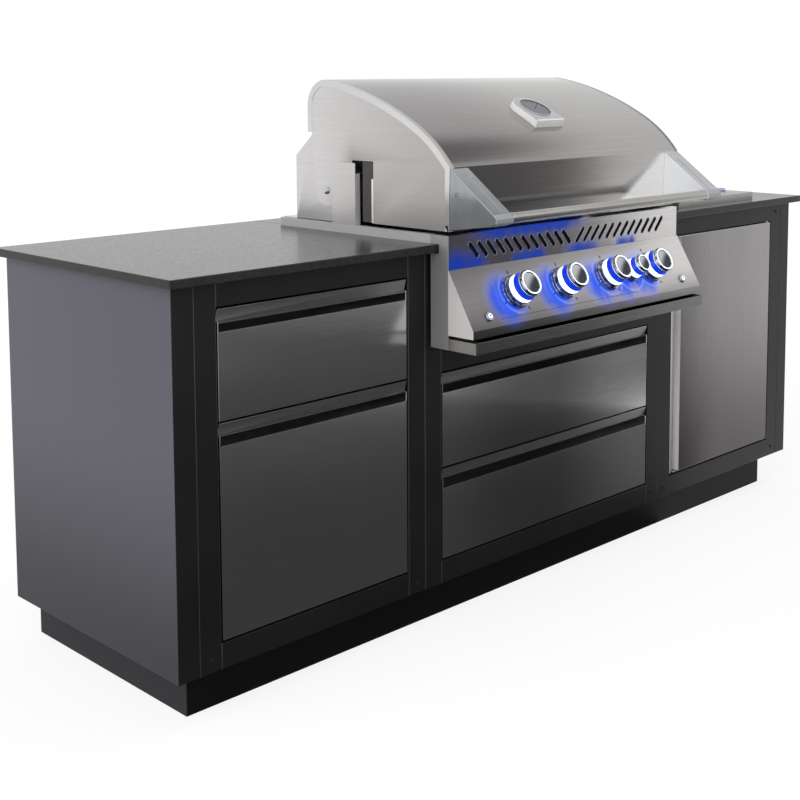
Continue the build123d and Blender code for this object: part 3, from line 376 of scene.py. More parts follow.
# painted highlight: a near-white copy of the chrome for the brackets' inner faces
innerChrome = satin("innerChrome", (0.88, 0.89, 0.91), (0.98, 0.985, 0.995), 0.08)
cheekSteel = satin("cheekSteel", (0.3, 0.295, 0.3), (0.42, 0.41, 0.42), 0.45)
flangeSteel = satin("flangeSteel", (0.44, 0.432, 0.43), (0.58, 0.57, 0.567), 0.3)
# painted shade: a dark copy of the steel for the lid's inner wall seen through its slots
linerSteel = satin("linerSteel", (0.05, 0.044, 0.04), (0.09, 0.08, 0.074), 0.3)
noseChrome = satin("noseChrome", (0.38, 0.39, 0.41), (0.5, 0.51, 0.53), 0.85)


# patches of smudge and wear; where the contrast is strong, as on darkChrome, they are painted reflections
def chrome(name, smudgeAndGlintScale, contrast, tone, wornAndGlint, gloss, wear):
    material, place, shader = startFinish(name, {"Metallic": 1.0})
    smudgeAndGlint = cloud(place, smudgeAndGlintScale, 4.0)
    feed(shader, "Base Color", blended(graded(smudgeAndGlint, *contrast), tone, wornAndGlint))
    feed(shader, "Roughness", gloss + smudgeAndGlint * wear)
    return material


brightChrome = chrome("brightChrome", 60.0, (0.3, 0.8), (0.52, 0.53, 0.55), (0.47, 0.48, 0.5), 0.04, 0.05)
# painted shade: a darker copy of the chrome for the brackets' outer faces
sideChrome = chrome("sideChrome", 30.0, (0.3, 0.8), (0.34, 0.35, 0.375), (0.4, 0.41, 0.43), 0.05, 0.06)
# painted reflection: patches from near-black to pale chrome
darkChrome = chrome("darkChrome", 90.0, (0.35, 0.65), (0.12, 0.13, 0.16), (0.6, 0.62, 0.68), 0.08, 0.08)

dish = {"pitch": 0.0885, "level": 0.82, "lean": 1.3, "edge": (-0.012, 0.016),
        "pale": (0.5, 0.51, 0.53), "dark": (0.05, 0.055, 0.07)}
dishMetal, place, shader = startFinish("dishMetal", {"Metallic": 1.0})
across = axisOf(place, "X") + dish["pitch"] / 2  # every knob stands on a multiple of the pitch
across = across.math("WRAP", across, dish["pitch"], 0.0) - dish["pitch"] / 2
spun = cloud(place, 900.0, 2.0)
# painted reflection: each dish runs from pale to dark across its face
dishReflection = graded(across - (axisOf(place, "Z") - dish["level"]) * dish["lean"] + spun * 0.006, *dish["edge"])
feed(shader, "Base Color", blended(dishReflection, dish["pale"], dish["dark"]))
feed(shader, "Roughness", 0.18 + spun * 0.15)


def litFinish(name, colour, edge, strength, base):  # translucent plastic lit from inside
    material, place, shader = startFinish(name, {"Roughness": 0.25, "Emission Strength": strength})
    shade = cloud(place, 120.0)
    feed(shader, "Emission Color", blended(graded(shade, 0.3, 0.75), colour, edge))
    feed(shader, "Base Color", blended(shade, base, colour))
    return material


whiteGlow = litFinish("whiteGlow", (0.86, 0.93, 1.0), (0.66, 0.82, 1.0), 1.5, (0.8, 0.85, 0.9))
blueGlow = litFinish("blueGlow", (0.0, 0.022, 0.5), (0.0, 0.045, 0.8), 0.8, (0.0, 0.02, 0.2))

blackTrim, place, shader = startFinish("blackTrim", {"Specular IOR Level": 0.3})
pit = cloud(place, 800.0)
feed(shader, "Base Color", blended(pit, (0.006, 0.006, 0.007), (0.018, 0.018, 0.02)))
feed(shader, "Roughness", 0.4 + pit * 0.2)

castIron, place, shader = startFinish("castIron", {"Specular IOR Level": 0.4})
pit = cloud(place, 420.0, 4.0)
feed(shader, "Base Color", blended(pit, (0.014, 0.014, 0.015), (0.045, 0.043, 0.042)))
feed(shader, "Roughness", 0.45 + pit * 0.3)
bumped(shader, pit, 0.5, 0.0008)

burnerTile, place, shader = startFinish("burnerTile", {})
holes = place.node("ShaderNodeTexVoronoi", {}, {"Vector": place, "Scale": 160.0}, "Distance")
solid = graded(holes, 0.18, 0.34)
feed(shader, "Base Color", blended(solid, (0.05, 0.04, 0.035), (0.62, 0.55, 0.45)))
feed(shader, "Roughness", 0.8 + holes * 0.2)
bumped(shader, solid, 0.6, 0.001)

pane = {"Specular IOR Level": 0.3, "Coat Weight": 0.2, "Coat Roughness": 0.03}
gaugeGlass, place, shader = startFinish("gaugeGlass", pane)
haze = cloud(place, 40.0)
feed(shader, "Base Color", blended(haze, (0.07, 0.078, 0.095), (0.12, 0.13, 0.15)))
feed(shader, "Roughness", 0.2 + haze * 0.1)
print("finishes mixed")


def deselectAll():
    if bpy.context.object and bpy.context.object.mode != "OBJECT":
        bpy.ops.object.mode_set(mode="OBJECT")
    bpy.ops.object.select_all(action="DESELECT")


def only(piece):
    deselectAll()
    piece.select_set(True)
    bpy.context.view_layer.objects.active = piece


def pickFaces(piece, test):  # selects faces by place or normal, ready for an edit
    only(piece)
    bpy.ops.object.mode_set(mode="EDIT")
    bpy.ops.mesh.select_mode(type="FACE")
    bpy.ops.mesh.select_all(action="DESELECT")
    bpy.ops.object.mode_set(mode="OBJECT")
    for face in piece.data.polygons:
        face.select = test(face)
    bpy.ops.object.mode_set(mode="EDIT")


def tidyMesh(piece):
    only(piece)
    bpy.ops.object.mode_set(mode="EDIT")
    bpy.ops.mesh.select_all(action="SELECT")
    bpy.ops.mesh.remove_doubles(threshold=0.000002)
    bpy.ops.mesh.normals_make_consistent(inside=False)
    bpy.ops.object.mode_set(mode="OBJECT")


edgeAngles = {"sheet": 30, "turned": 40, "smooth": 20}


def roundEdges(piece, width, segments=2, angle=edgeAngles["sheet"]):
    only(piece)
    bevel = piece.modifiers.new("edges", "BEVEL")
    bevel.width = width
    bevel.segments = segments
    bevel.limit_method = "ANGLE"
    bevel.angle_limit = math.radians(angle)
    bpy.ops.object.modifier_apply(modifier=bevel.name)
    bpy.ops.object.shade_smooth_by_angle(angle=math.radians(edgeAngles["smooth"]))


def paint(piece, *finishes):
    piece.data.materials.clear()
    for finish in finishes:
        piece.data.materials.append(finish)


def paintBy(piece, finishes, choose):  # every face takes the finish whose number is chosen for it
    paint(piece, *finishes)
    for face in piece.data.polygons:
        face.material_index = choose(face)


def dress(piece, body, slotName, *nodes):
    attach(piece, body)
    if nodes:
        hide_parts(*nodes)
    return piece


def softCopy(node, name, width, finish):  # the sheet part with its folds and cut edges rounded
    piece = bpy.data.objects.new(name, frame["nodes"][node].data.copy())
    bpy.context.scene.collection.objects.link(piece)
    only(piece)
    bpy.ops.object.mode_set(mode="EDIT")
    bpy.ops.mesh.select_all(action="SELECT")
    bpy.ops.mesh.remove_doubles(threshold=0.000002)
    bpy.ops.mesh.dissolve_limited(angle_limit=math.radians(0.4))
    bpy.ops.object.mode_set(mode="OBJECT")
    roundEdges(piece, width)
    paint(piece, finish)
    return dress(piece, nodeBody[node], nodeSlot[node], node)


def turned(name, shape):  # a round piece drawn up ring by ring
    deselectAll()
    rings = shape["rings"]
    radius, height = rings[0]
    bpy.ops.mesh.primitive_circle_add(vertices=shape["steps"], radius=radius, fill_type="NGON",
                                      location=(0, 0, height))
    piece = bpy.context.object
    piece.name = name
    bpy.ops.object.transform_apply(location=True, rotation=True, scale=True)
    bpy.ops.object.mode_set(mode="EDIT")
    bpy.ops.mesh.select_all(action="SELECT")
    for (lastRadius, lastHeight), (radius, height) in zip(rings, rings[1:]):
        bpy.ops.mesh.extrude_region_move(TRANSFORM_OT_translate={"value": (0, 0, height - lastHeight)})
        grow = radius / lastRadius
        bpy.ops.transform.resize(value=(grow, grow, 1), center_override=(0, 0, height))
    bpy.ops.object.mode_set(mode="OBJECT")
    tidyMesh(piece)
    return piece


def roundTurned(piece, shape):
    roundEdges(piece, shape["rounding"], shape["segments"], edgeAngles["turned"])
    return piece


def turnBy(degrees, letter):
    return Matrix.Rotation(math.radians(degrees), 4, letter)


def reachOf(face):  # distance of a face from the turning axis
    return math.hypot(face.center.x, face.center.y)


def copied(piece, name, matrix):
    twin = bpy.data.objects.new(name, piece.data.copy())
    bpy.context.scene.collection.objects.link(twin)
    twin.data.transform(matrix)
    return twin


def joined(pieces, name):
    deselectAll()
    for piece in pieces:
        piece.select_set(True)
    bpy.context.view_layer.objects.active = pieces[0]
    bpy.ops.object.join()
    pieces[0].name = name
    return pieces[0]


def trim(pieces, name, finish, body, slotName, *nodes):  # joins small pieces into one and dresses it
    piece = joined(pieces, name)
    paint(piece, finish)
    return dress(piece, body, slotName, *nodes)


def dropped(piece):
    bpy.data.objects.remove(piece)


def block(name, low, high):  # a box given by two corners, to be shaped further
    deselectAll()
    middle = [(a + b) / 2 for a, b in zip(low, high)]
    bpy.ops.mesh.primitive_cube_add(size=1, location=middle)
    piece = bpy.context.object
    piece.name = name
    piece.scale = [b - a for a, b in zip(low, high)]
    bpy.ops.object.transform_apply(location=True, rotation=True, scale=True)
    return piece


sheets = {  # node: (name, edge rounding, finish)
    "end_panel_left": ("endPanelLeft", 0.0012, endCoat),
    "end_panel_right": ("endPanelRight", 0.0012, endCoat),
    "countertop_left": ("worktopLeft", 0.002, darkStone),
    "countertop_rear": ("worktopRear", 0.002, darkStone),
    "countertop_right": ("worktopRight", 0.002, darkStone),
    "left_upper_drawer_front": ("leftUpperFront", 0.0007, frontSteel),
    "left_lower_drawer_front": ("leftLowerFront", 0.0007, frontSteel),
    "grill_upper_drawer_front": ("grillUpperFront", 0.0007, frontSteel),
    "grill_lower_drawer_front": ("grillLowerFront", 0.0007, frontSteel),
    "door_panel": ("doorFront", 0.0007, doorSteel),
    "bezel_sides": ("grillCheeks", 0.0006, cheekSteel),
    "control_panel": ("controlSlope", 0.0008, panelSteel),
    "lid_skin": ("lidSkin", 0.0007, lidSteel),
    "lid_sides": ("lidEnds", 0.0007, lidSideSteel),
    "lid_handle_brackets": ("handleBrackets", 0.0014, brightChrome),
    "lid_gauge": ("gaugeHousing", 0.0008, brightChrome),
    "drip_tray": ("dripTray", 0.0006, traySteel),
    "rear_hood": ("rearHood", 0.0006, lidSideSteel),
    "spit_brackets": ("spitBrackets", 0.0005, lidSideSteel),
    "side_burner_pan": ("sideBurnerPan", 0.0008, plainSteel),
    "side_burner_lid": ("sideBurnerLid", 0.001, plainSteel),
    "louver_panel": ("louverPanel", 0.0004, louverSteel),
}
sheetPieces = {node: softCopy(node, *rest) for node, rest in sheets.items()}


def paintFaces(piece, finish, test):  # gives some faces of a piece another finish
    piece.data.materials.append(finish)
    last = len(piece.data.materials) - 1
    for face in piece.data.polygons:
        if test(face):
            face.material_index = last


doorPull = {"edge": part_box("door_panel")[0].x, "from": 0.012, "to": 0.08}
nose = {"front": -0.412}
groove = {"back": -0.205}
# painted highlights on the door pull's slope, the spit brackets' front folds, the gauge's walls and the panel's
# ends
paintFaces(sheetPieces["door_panel"], paleEdge, lambda face: (
    face.normal.x < -0.25 and doorPull["from"] < face.center.x - doorPull["edge"] < doorPull["to"]))
paintFaces(sheetPieces["spit_brackets"], paleEdge, lambda face: face.normal.y < -0.7)
paintFaces(sheetPieces["lid_gauge"], paleEdge, lambda face: face.normal.z < 0.6)
paintFaces(sheetPieces["control_panel"], paleEdge, lambda face: abs(face.normal.x) > 0.9)
# painted highlight: the tray's end faces take the paler steel of the lid's ends
paintFaces(sheetPieces["drip_tray"], lidSideSteel, lambda face: abs(face.normal.x) > 0.9)
brackets = sheetPieces["lid_handle_brackets"]
# painted light: the brackets' inner faces take a near-white copy of the chrome, their outer faces a darker one
paintFaces(brackets, innerChrome, lambda face: face.normal.x * face.center.x < -0.2)
paintFaces(brackets, sideChrome, lambda face: face.normal.x * face.center.x > 0.2)
paintFaces(brackets, noseChrome, lambda face: face.center.y < nose["front"] and abs(face.normal.x) < 0.9)
for node in ("left_upper", "left_lower", "grill_upper", "grill_lower"):
    piece = sheetPieces[node + "_drawer_front"]
    # painted highlight on the lip, painted shade on the ledge and back wall of the pull
    paintFaces(piece, lipSteel, lambda face: face.normal.y < -0.7 and face.normal.z < -0.15)
    paintFaces(piece, grooveSteel, lambda face: -0.7 < face.normal.y < -0.2 and face.normal.z > 0.7)
    paintFaces(piece, grooveSteel, lambda face: face.normal.y < -0.9 and face.center.y > groove["back"])
for node in ("countertop_left", "countertop_rear", "countertop_right"):
    paintFaces(sheetPieces[node], sawnStone, lambda face: abs(face.normal.z) < 0.5)
# the end panels' front edges keep the plain coat, without the painted light of the sides
for node in ("end_panel_left", "end_panel_right"):
    paintFaces(sheetPieces[node], charcoalCoat, lambda face: face.normal.y < -0.7)

lidRim = {"wide": 0.016, "thin": 0.0009, "proud": 0.0005, "heart": Vector((0, 0.05, 1.05)), "rounding": 0.0002}
# polished band along the lid's outline
rim = bpy.data.objects.new("lidRim", frame["nodes"]["lid_skin"].data.copy())
bpy.context.scene.collection.objects.link(rim)
tidyMesh(rim)
pickFaces(rim, lambda face: (face.center - lidRim["heart"]).dot(face.normal) < 0.02 or abs(face.normal.x) > 0.2)
bpy.ops.mesh.delete(type="FACE")
bpy.ops.mesh.select_mode(type="VERT")
bpy.ops.mesh.select_all(action="DESELECT")
bpy.ops.object.mode_set(mode="OBJECT")
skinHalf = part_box("lid_skin")[1].x
for vertex in rim.data.vertices:  # only the outline at the end stays
    vertex.select = vertex.co.x < skinHalf - 0.0001
bpy.ops.object.mode_set(mode="EDIT")
bpy.ops.mesh.delete(type="VERT")
bpy.ops.mesh.select_all(action="SELECT")
bpy.ops.transform.translate(value=(lidRim["thin"] / 2 - skinHalf, 0, 0))
bpy.ops.mesh.extrude_region_move(TRANSFORM_OT_translate={"value": (-lidRim["thin"], 0, 0)})
bpy.ops.mesh.select_all(action="SELECT")
bpy.ops.mesh.normals_make_consistent(inside=False)
bpy.ops.object.mode_set(mode="OBJECT")
facing = rim.data.polygons[0]
if (facing.center - lidRim["heart"]).dot(facing.normal) < 0:
    rim.data.flip_normals()
band = rim.modifiers.new("band", "SOLIDIFY")
band.thickness = lidRim["wide"]
band.offset = -1
only(rim)
bpy.ops.object.modifier_apply(modifier=band.name)
roundEdges(rim, lidRim["rounding"], 1, edgeAngles["turned"])
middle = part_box("lid_sides")[1].x + lidRim["proud"] - lidRim["thin"] / 2
bands = [copied(rim, "lidRim", Matrix.Translation((side * middle, 0, 0))) for side in (-1, 1)]
dropped(rim)
trim(bands, "lidRims", rimSteel, "lid", "brushed_stainless")

slotTrim = {  # painted highlight on the lip and painted shade on the lining of the slot in each end of the lid
    "slotLips": {"finish": paleEdge, "out": (0.4449, 0.4464), "depth": (-0.042, -0.0355),
                 "levels": (0.945, 1.05), "rounding": 0.0006, "segments": 3},
    "slotLiners": {"finish": linerSteel, "out": (0.4413, 0.4423), "depth": (-0.056, -0.001),
                   "levels": (0.945, 1.098), "rounding": 0.0004, "segments": 2},
}
for name, strip in slotTrim.items():
    strips = []
    for side in (-1, 1):
        spans = (sorted(side * out for out in strip["out"]), strip["depth"], strip["levels"])
        piece = block(name, *zip(*spans))
        roundEdges(piece, strip["rounding"], strip["segments"])
        strips.append(piece)
    trim(strips, name, strip["finish"], "lid", "brushed_stainless")
print("sheets rounded")

frames = {"stile": 0.054, "topRail": 0.052, "bottomRail": 0.054, "rounding": 0.0014}


def faceFrame(node, name, members):
    bars = [block(name, low, high) for low, high in members]
    for bar in bars:
        roundEdges(bar, frames["rounding"])
    piece = joined(bars, name)
    paint(piece, charcoalCoat)
    # painted highlight on the rounded upright edges
    paintFaces(piece, edgeCoat, lambda face: 0.3 < abs(face.normal.x) < 0.95)
    dress(piece, "cabinet", nodeSlot[node], node)


for node, name in (("left_face_frame", "leftFrame"), ("right_face_frame", "rightFrame")):
    low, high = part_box(node)
    innerLow = low.x + frames["stile"]
    innerHigh = high.x - frames["stile"]
    railTop = low.z + frames["bottomRail"]
    faceFrame(node, name, [
        ((low.x, low.y, low.z), (innerLow, high.y, high.z)),
        ((innerHigh, low.y, low.z), (high.x, high.y, high.z)),
        ((innerLow, low.y, low.z), (innerHigh, high.y, railTop)),
        ((innerLow, low.y, high.z - frames["topRail"]), (innerHigh, high.y, high.z)),
    ])
low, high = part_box("grill_face_frame")
grillFrame = {"postInner": 0.4375, "railLow": 0.609, "railHigh": 0.6685}
innerLow = low.x + frames["stile"]
faceFrame("grill_face_frame", "grillFrame", [
    ((innerLow, low.y, low.z), (-innerLow, high.y, low.z + frames["bottomRail"])),
    ((innerLow, low.y, grillFrame["railLow"]), (-innerLow, high.y, grillFrame["railHigh"])),
    ((low.x, low.y, low.z), (innerLow, high.y, grillFrame["railHigh"])),
    ((-innerLow, low.y, low.z), (high.x, high.y, grillFrame["railHigh"])),
    ((low.x, low.y, grillFrame["railHigh"]), (-grillFrame["postInner"], high.y, high.z)),
    ((grillFrame["postInner"], low.y, grillFrame["railHigh"]), (high.x, high.y, high.z)),
])
print("face frames built")

knobShape = {  # rings as (radius, height above the panel) of the large knob
    "rings": [(0.0365, 0.0114), (0.0365, 0.0180), (0.0352, 0.0188), (0.0346, 0.0318), (0.0350, 0.0326),
              (0.0334, 0.0330), (0.0320, 0.0452), (0.0323, 0.0455), (0.0323, 0.0474), (0.0312, 0.0477),
              (0.0312, 0.0486), (0.0322, 0.0489), (0.0322, 0.0536), (0.0304, 0.0566), (0.0290, 0.0574),
              (0.0264, 0.0574), (0.0256, 0.0566), (0.0242, 0.0556), (0.0120, 0.0538), (0.0020, 0.0535)],
    "steps": 72, "rounding": 0.0004, "segments": 2, "smallScale": 0.72,
    "finishes": (brightChrome, whiteGlow, blueGlow, dishMetal, darkChrome),
    # zones: number of the finish, heights, distances from the axis
    "zones": [(4, (0, 0.0185), (-1, 1)), (4, (0.0537, 1), (0.029, 0.032)),
              (1, (0, 0.0326), (0.03, 1)), (2, (0, 0.0453), (0.03, 1)), (1, (0.0476, 0.0487), (-1, 0.0317)),
              (1, (0.0572, 1), (0.0262, 0.0292)), (3, (0.05, 1), (-1, 0.0241))],
}


def knobFinish(face):  # the first zone that holds the face, or else bright chrome
    for finish, (bottom, top), (inner, outer) in knobShape["zones"]:
        if bottom < face.center.z < top and inner < reachOf(face) < outer:
            return finish
    return 0


knobModel = roundTurned(turned("knobModel", knobShape), knobShape)
paintBy(knobModel, knobShape["finishes"], knobFinish)
for number, x in enumerate(slope["big"], start=1):
    knob = copied(knobModel, f"gasKnob{number}", onSlope(x, slope["knobDown"]))
    dress(knob, f"burner_knob_{number}", "polished_chrome", f"burner_knob_{number}")
shrink = Matrix.Diagonal((knobShape["smallScale"], knobShape["smallScale"], 1, 1))
knob = copied(knobModel, "rearKnob", onSlope(slope["small"], slope["knobDown"]) @ shrink)
dress(knob, "rear_burner_knob", "polished_chrome", "rear_burner_knob")
dropped(knobModel)
print("knobs turned")

collar = {  # notched chrome ring under each knob
    "rings": [(0.0410, 0.0), (0.0410, 0.0020), (0.0400, 0.0028), (0.0400, 0.0088), (0.0385, 0.0106),
              (0.0340, 0.0110), (0.0330, 0.0095), (0.0100, 0.0095)],
    "steps": 72, "notchEvery": 3, "notchRim": 0.0006, "notchDeep": 0.0016, "wall": (0.003, 0.0085),
    "rounding": 0.0003, "segments": 1,
}
collarModel = turned("collarModel", collar)


def collarWall(face):
    turn = math.degrees(math.atan2(face.center.y, face.center.x)) % 360
    step = int(turn / 360 * collar["steps"])
    bottom, top = collar["wall"]
    upright = bottom < face.center.z < top and abs(face.normal.z) < 0.2
    return upright and step % collar["notchEvery"] == 0


pickFaces(collarModel, collarWall)
bpy.ops.mesh.inset(thickness=collar["notchRim"], use_individual=True)
bpy.ops.mesh.extrude_region_shrink_fatten(TRANSFORM_OT_shrink_fatten={"value": -collar["notchDeep"]})
bpy.ops.object.mode_set(mode="OBJECT")
# painted shade: the notch faces are black
paintBy(collarModel, (darkChrome, blackTrim), lambda face: int(face.select))
roundTurned(collarModel, collar)
buttonRing = {"rings": [(0.0110, 0.0), (0.0110, 0.0034), (0.0100, 0.0048), (0.0078, 0.0050), (0.0066, 0.0042),
                        (0.0064, 0.0)], "steps": 48, "rounding": 0.0003, "segments": 2}
ringModel = roundTurned(turned("ringModel", buttonRing), buttonRing)
paint(ringModel, brightChrome)
collars = [copied(collarModel, "collar", onSlope(x, slope["knobDown"])) for x in slope["big"]]
collars.append(copied(collarModel, "collar", onSlope(slope["small"], slope["knobDown"]) @ shrink))
collars += [copied(ringModel, "collar", onSlope(x, slope["buttonDown"])) for x in slope["buttons"]]
dress(joined(collars, "panelCollars"), "cabinet", "polished_chrome", "control_bezels")
dropped(collarModel)
dropped(ringModel)

button = {"rings": [(0.0060, -0.009), (0.0060, 0.0056), (0.0054, 0.0066), (0.0046, 0.0070), (0.0030, 0.0070),
                    (0.0026, 0.0060), (0.0006, 0.0058)], "steps": 40, "rounding": 0.0002, "segments": 2,
          "window": 0.0029, "skirt": 0.004}
buttonModel = roundTurned(turned("buttonModel", button), button)
paintBy(buttonModel, (whiteGlow, blueGlow), lambda face: int(
    reachOf(face) < button["window"] or face.center.z < button["skirt"]))
for node, name, x in (("light_button", "lightButton", slope["buttons"][0]),
                      ("ignition_button", "ignitionButton", slope["buttons"][1])):
    dress(copied(buttonModel, name, onSlope(x, slope["buttonDown"])), node, "lit_button", node)
dropped(buttonModel)
print("collars and buttons set")

marks = {"reach": 0.050, "turns": (90, 205, 300), "size": (0.0034, 0.0078), "thick": 0.00025,
         "rounding": 0.0001, "line": (-0.3495, 0.1815), "lineDown": 0.1325, "lineWide": 0.0009}
wide, tall = marks["size"]
tick = block("tick", (-wide / 2, -tall / 2, 0), (wide / 2, tall / 2, marks["thick"]))
roundEdges(tick, marks["rounding"], 1)
printed = []
for x in (*slope["big"], slope["small"]):
    reach = marks["reach"] * (knobShape["smallScale"] if x == slope["small"] else 1)
    for turn in marks["turns"]:
        spin = turnBy(turn - 90, "Z") @ Matrix.Translation((0, reach, 0))
        printed.append(copied(tick, "tick", onSlope(x, slope["knobDown"]) @ spin))
dropped(tick)
half = marks["lineWide"] / 2
line = block("line", (marks["line"][0], -half, 0), (marks["line"][1], half, marks["thick"]))
roundEdges(line, marks["rounding"], 1)
line.data.transform(onSlope(0, marks["lineDown"]))
trim([*printed, line], "panelMarks", blackTrim, "cabinet", "nylon")

vents = {"count": 12, "first": 0.027, "pitch": 0.0308, "length": 0.049, "width": 0.012, "lean": 42,
         "rim": 0.0007, "backHalf": 0.42, "backInset": 0.006, "backThick": 0.002, "backRounding": 0.0006}
low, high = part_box("louver_panel")
ventMiddle = (low.z + high.z) / 2


def ventRim(name, lean):  # pressed lip round one slot, a ring drawn out to a slot
    deselectAll()
    bpy.ops.mesh.primitive_torus_add(major_radius=vents["width"] / 2, minor_radius=vents["rim"],
                                     major_segments=20, minor_segments=8)
    rim = bpy.context.object
    rim.name = name
    half = (vents["length"] - vents["width"]) / 2
    for vertex in rim.data.vertices:
        vertex.co.y += half if vertex.co.y > 0.00001 else -half
    rim.data.transform(turnBy(90, "X") @ turnBy(lean, "Z"))
    only(rim)
    bpy.ops.object.shade_smooth()
    return rim


ventRims = []
for side, lean in ((1, -vents["lean"]), (-1, vents["lean"])):
    model = ventRim("ventRim", lean)
    for step in range(vents["count"]):
        x = side * (vents["first"] + step * vents["pitch"])
        ventRims.append(copied(model, "rim", Matrix.Translation((x, low.y, ventMiddle))))
    dropped(model)
trim(ventRims, "ventRims", brightChrome, "cabinet", "brushed_stainless")
# painted shade: a black sheet behind the slots stands for the dark inside of the grill
inset = vents["backInset"]
back = block("ventBack", (-vents["backHalf"], low.y + inset, low.z + inset),
             (vents["backHalf"], low.y + inset + vents["backThick"], high.z - inset))
roundEdges(back, vents["backRounding"])
paint(back, blackTrim)
dress(back, "cabinet", "nylon")
print("vents lipped")

gauge = {
    "rings": [(0.0434, 0.0179), (0.0434, 0.0192), (0.0424, 0.02), (0.0412, 0.02), (0.0393, 0.0186),
              (0.0008, 0.0185)],
    "steps": 64, "rounding": 0.0003, "segments": 2, "glass": 0.0185, "shade": 0.0412, "pane": 0.0393,
    "spot": (0, -0.157902, 1.1944), "out": Vector((0, -0.45806, 0.888921)),
}
dialPrint = {"count": 11, "first": 225, "step": 27, "mark": (0.0295, 0.0365), "markHalf": 0.0007,
             "thick": 0.0003, "markRounding": 0.0001, "needle": (-0.008, 0.028), "needleHalf": 0.0009,
             "needleTop": 0.0007, "needleTurn": 35, "needleRounding": 0.0002}
gaugeUp = Vector((0, gauge["out"].z, -gauge["out"].y))
gaugeAxes = Matrix((Vector((1, 0, 0)), gaugeUp, gauge["out"])).transposed().to_4x4()
onLid = Matrix.Translation(gauge["spot"]) @ gaugeAxes


def lensFinish(face):
    if reachOf(face) < gauge["pane"]:
        return 2
    # painted shade: the sloped wall round the glass is black
    return int(reachOf(face) < gauge["shade"] and face.normal.z > 0.2)


lens = roundTurned(turned("gaugeLens", gauge), gauge)
paintBy(lens, (brightChrome, blackTrim, gaugeGlass), lensFinish)
lens.data.transform(onLid)
dress(lens, "lid", "polished_chrome")
dialMarks = []
printTop = gauge["glass"] + dialPrint["thick"]
for step in range(dialPrint["count"]):
    near, far = dialPrint["mark"]
    half = dialPrint["markHalf"]
    mark = block("dialMark", (near, -half, gauge["glass"]), (far, half, printTop))
    roundEdges(mark, dialPrint["markRounding"], 1)
    mark.data.transform(onLid @ turnBy(dialPrint["first"] - step * dialPrint["step"], "Z"))
    dialMarks.append(mark)
tail, tip = dialPrint["needle"]
needle = block("needle", (tail, -dialPrint["needleHalf"], printTop),
               (tip, dialPrint["needleHalf"], gauge["glass"] + dialPrint["needleTop"]))
roundEdges(needle, dialPrint["needleRounding"], 1)
needle.data.transform(onLid @ turnBy(dialPrint["needleTurn"], "Z"))
trim([*dialMarks, needle], "gaugePrint", blackTrim, "lid", "polished_chrome")
print("gauge built")

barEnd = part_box("lid_handle_bar")[1].x
bracket = {"inner": barEnd, "outer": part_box("lid_handle_brackets")[1].x, "high": Vector((0, -0.2919, 1.0865)),
           "low": Vector((0, -0.4203, 0.9917)), "inward": 0.006, "screwAt": 0.2, "ridge": (0.2, 0.93),
           "ridgeShift": 0.03, "ridgeWide": 0.0024, "ridgeDeep": 0.0003, "ridgeHigh": 0.0008, "rounding": 0.0004}
run = (bracket["low"] - bracket["high"]).length
fall = (bracket["low"] - bracket["high"]).normalized()
rise = Vector((0, fall.z, -fall.y))


def onBracket(x, along):  # on the bracket's sloping top face
    spot = bracket["high"] + fall * (run * along)
    axes = Matrix((Vector((1, 0, 0)), -fall, rise)).transposed().to_4x4()
    return Matrix.Translation((x, spot.y, spot.z)) @ axes


# painted shade: a black ring with a sunken middle stands for the hole in the bracket's side
holeRing = {"rings": [(0.0046, -0.0010), (0.0046, 0.0003), (0.0038, 0.0005), (0.0034, -0.0004), (0.0006, -0.0004)],
        "steps": 24, "rounding": 0.0001, "segments": 1, "spot": (-bracket["outer"], -0.3119, 1.0288)}
bracketPlug = roundTurned(turned("bracketPlug", holeRing), holeRing)
bracketPlug.data.transform(Matrix.Translation(holeRing["spot"]) @ turnBy(-90, "Y"))
paint(bracketPlug, blackTrim)
dress(bracketPlug, "lid", "nylon")
head = {"rings": [(0.0036, -0.0005), (0.0036, 0.0006), (0.0030, 0.0010), (0.0008, 0.0011)], "steps": 24,
        "rounding": 0.0002, "segments": 1, "top": 0.0009, "slotHalf": 0.0022, "inset": 0.0003}
slotHead = turned("slotHead", head)
pickFaces(slotHead, lambda face: face.center.z > head["top"] and abs(face.center.x) < head["slotHalf"])
bpy.ops.mesh.inset(thickness=head["inset"])
bpy.ops.object.mode_set(mode="OBJECT")
roundTurned(slotHead, head)
trims = []
for side in (-1, 1):
    x = side * ((bracket["inner"] + bracket["outer"]) / 2 - bracket["inward"])
    trims.append(copied(slotHead, "trim", onBracket(x, bracket["screwAt"])))
    first, last = bracket["ridge"]
    half = run * (last - first) / 2
    wide = bracket["ridgeWide"] / 2
    ridge = block("trim", (-wide, -half, -bracket["ridgeDeep"]), (wide, half, bracket["ridgeHigh"]))
    roundEdges(ridge, bracket["rounding"], 2)
    ridge.data.transform(onBracket(x, (first + last) / 2 + bracket["ridgeShift"]))
    trims.append(ridge)
dropped(slotHead)
trim(trims, "bracketTrim", brightChrome, "lid", "polished_chrome")

bar = {"rings": [(0.0100, 0.0), (0.0128, 0.0), (0.0130, 0.0008), (0.0130, 0.0056), (0.0124, 0.0066),
                 (0.0124, barEnd), (0.0090, barEnd)],
       "steps": 64, "rounding": 0.0003, "segments": 2, "ferrule": 0.0062}
low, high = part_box("lid_handle_bar")
barAxis = (low + high) / 2
halves = []
for side in (-1, 1):
    half = roundTurned(turned("barHalf", bar), bar)
    paintBy(half, (barSteel, brightChrome), lambda face: int(face.center.z < bar["ferrule"]))
    half.data.transform(Matrix.Translation((side * barEnd, barAxis.y, barAxis.z)) @ turnBy(-90 * side, "Y"))
    halves.append(half)
dress(joined(halves, "handleBar"), "lid", "brushed_stainless", "lid_handle_bar")
print("handle trimmed")

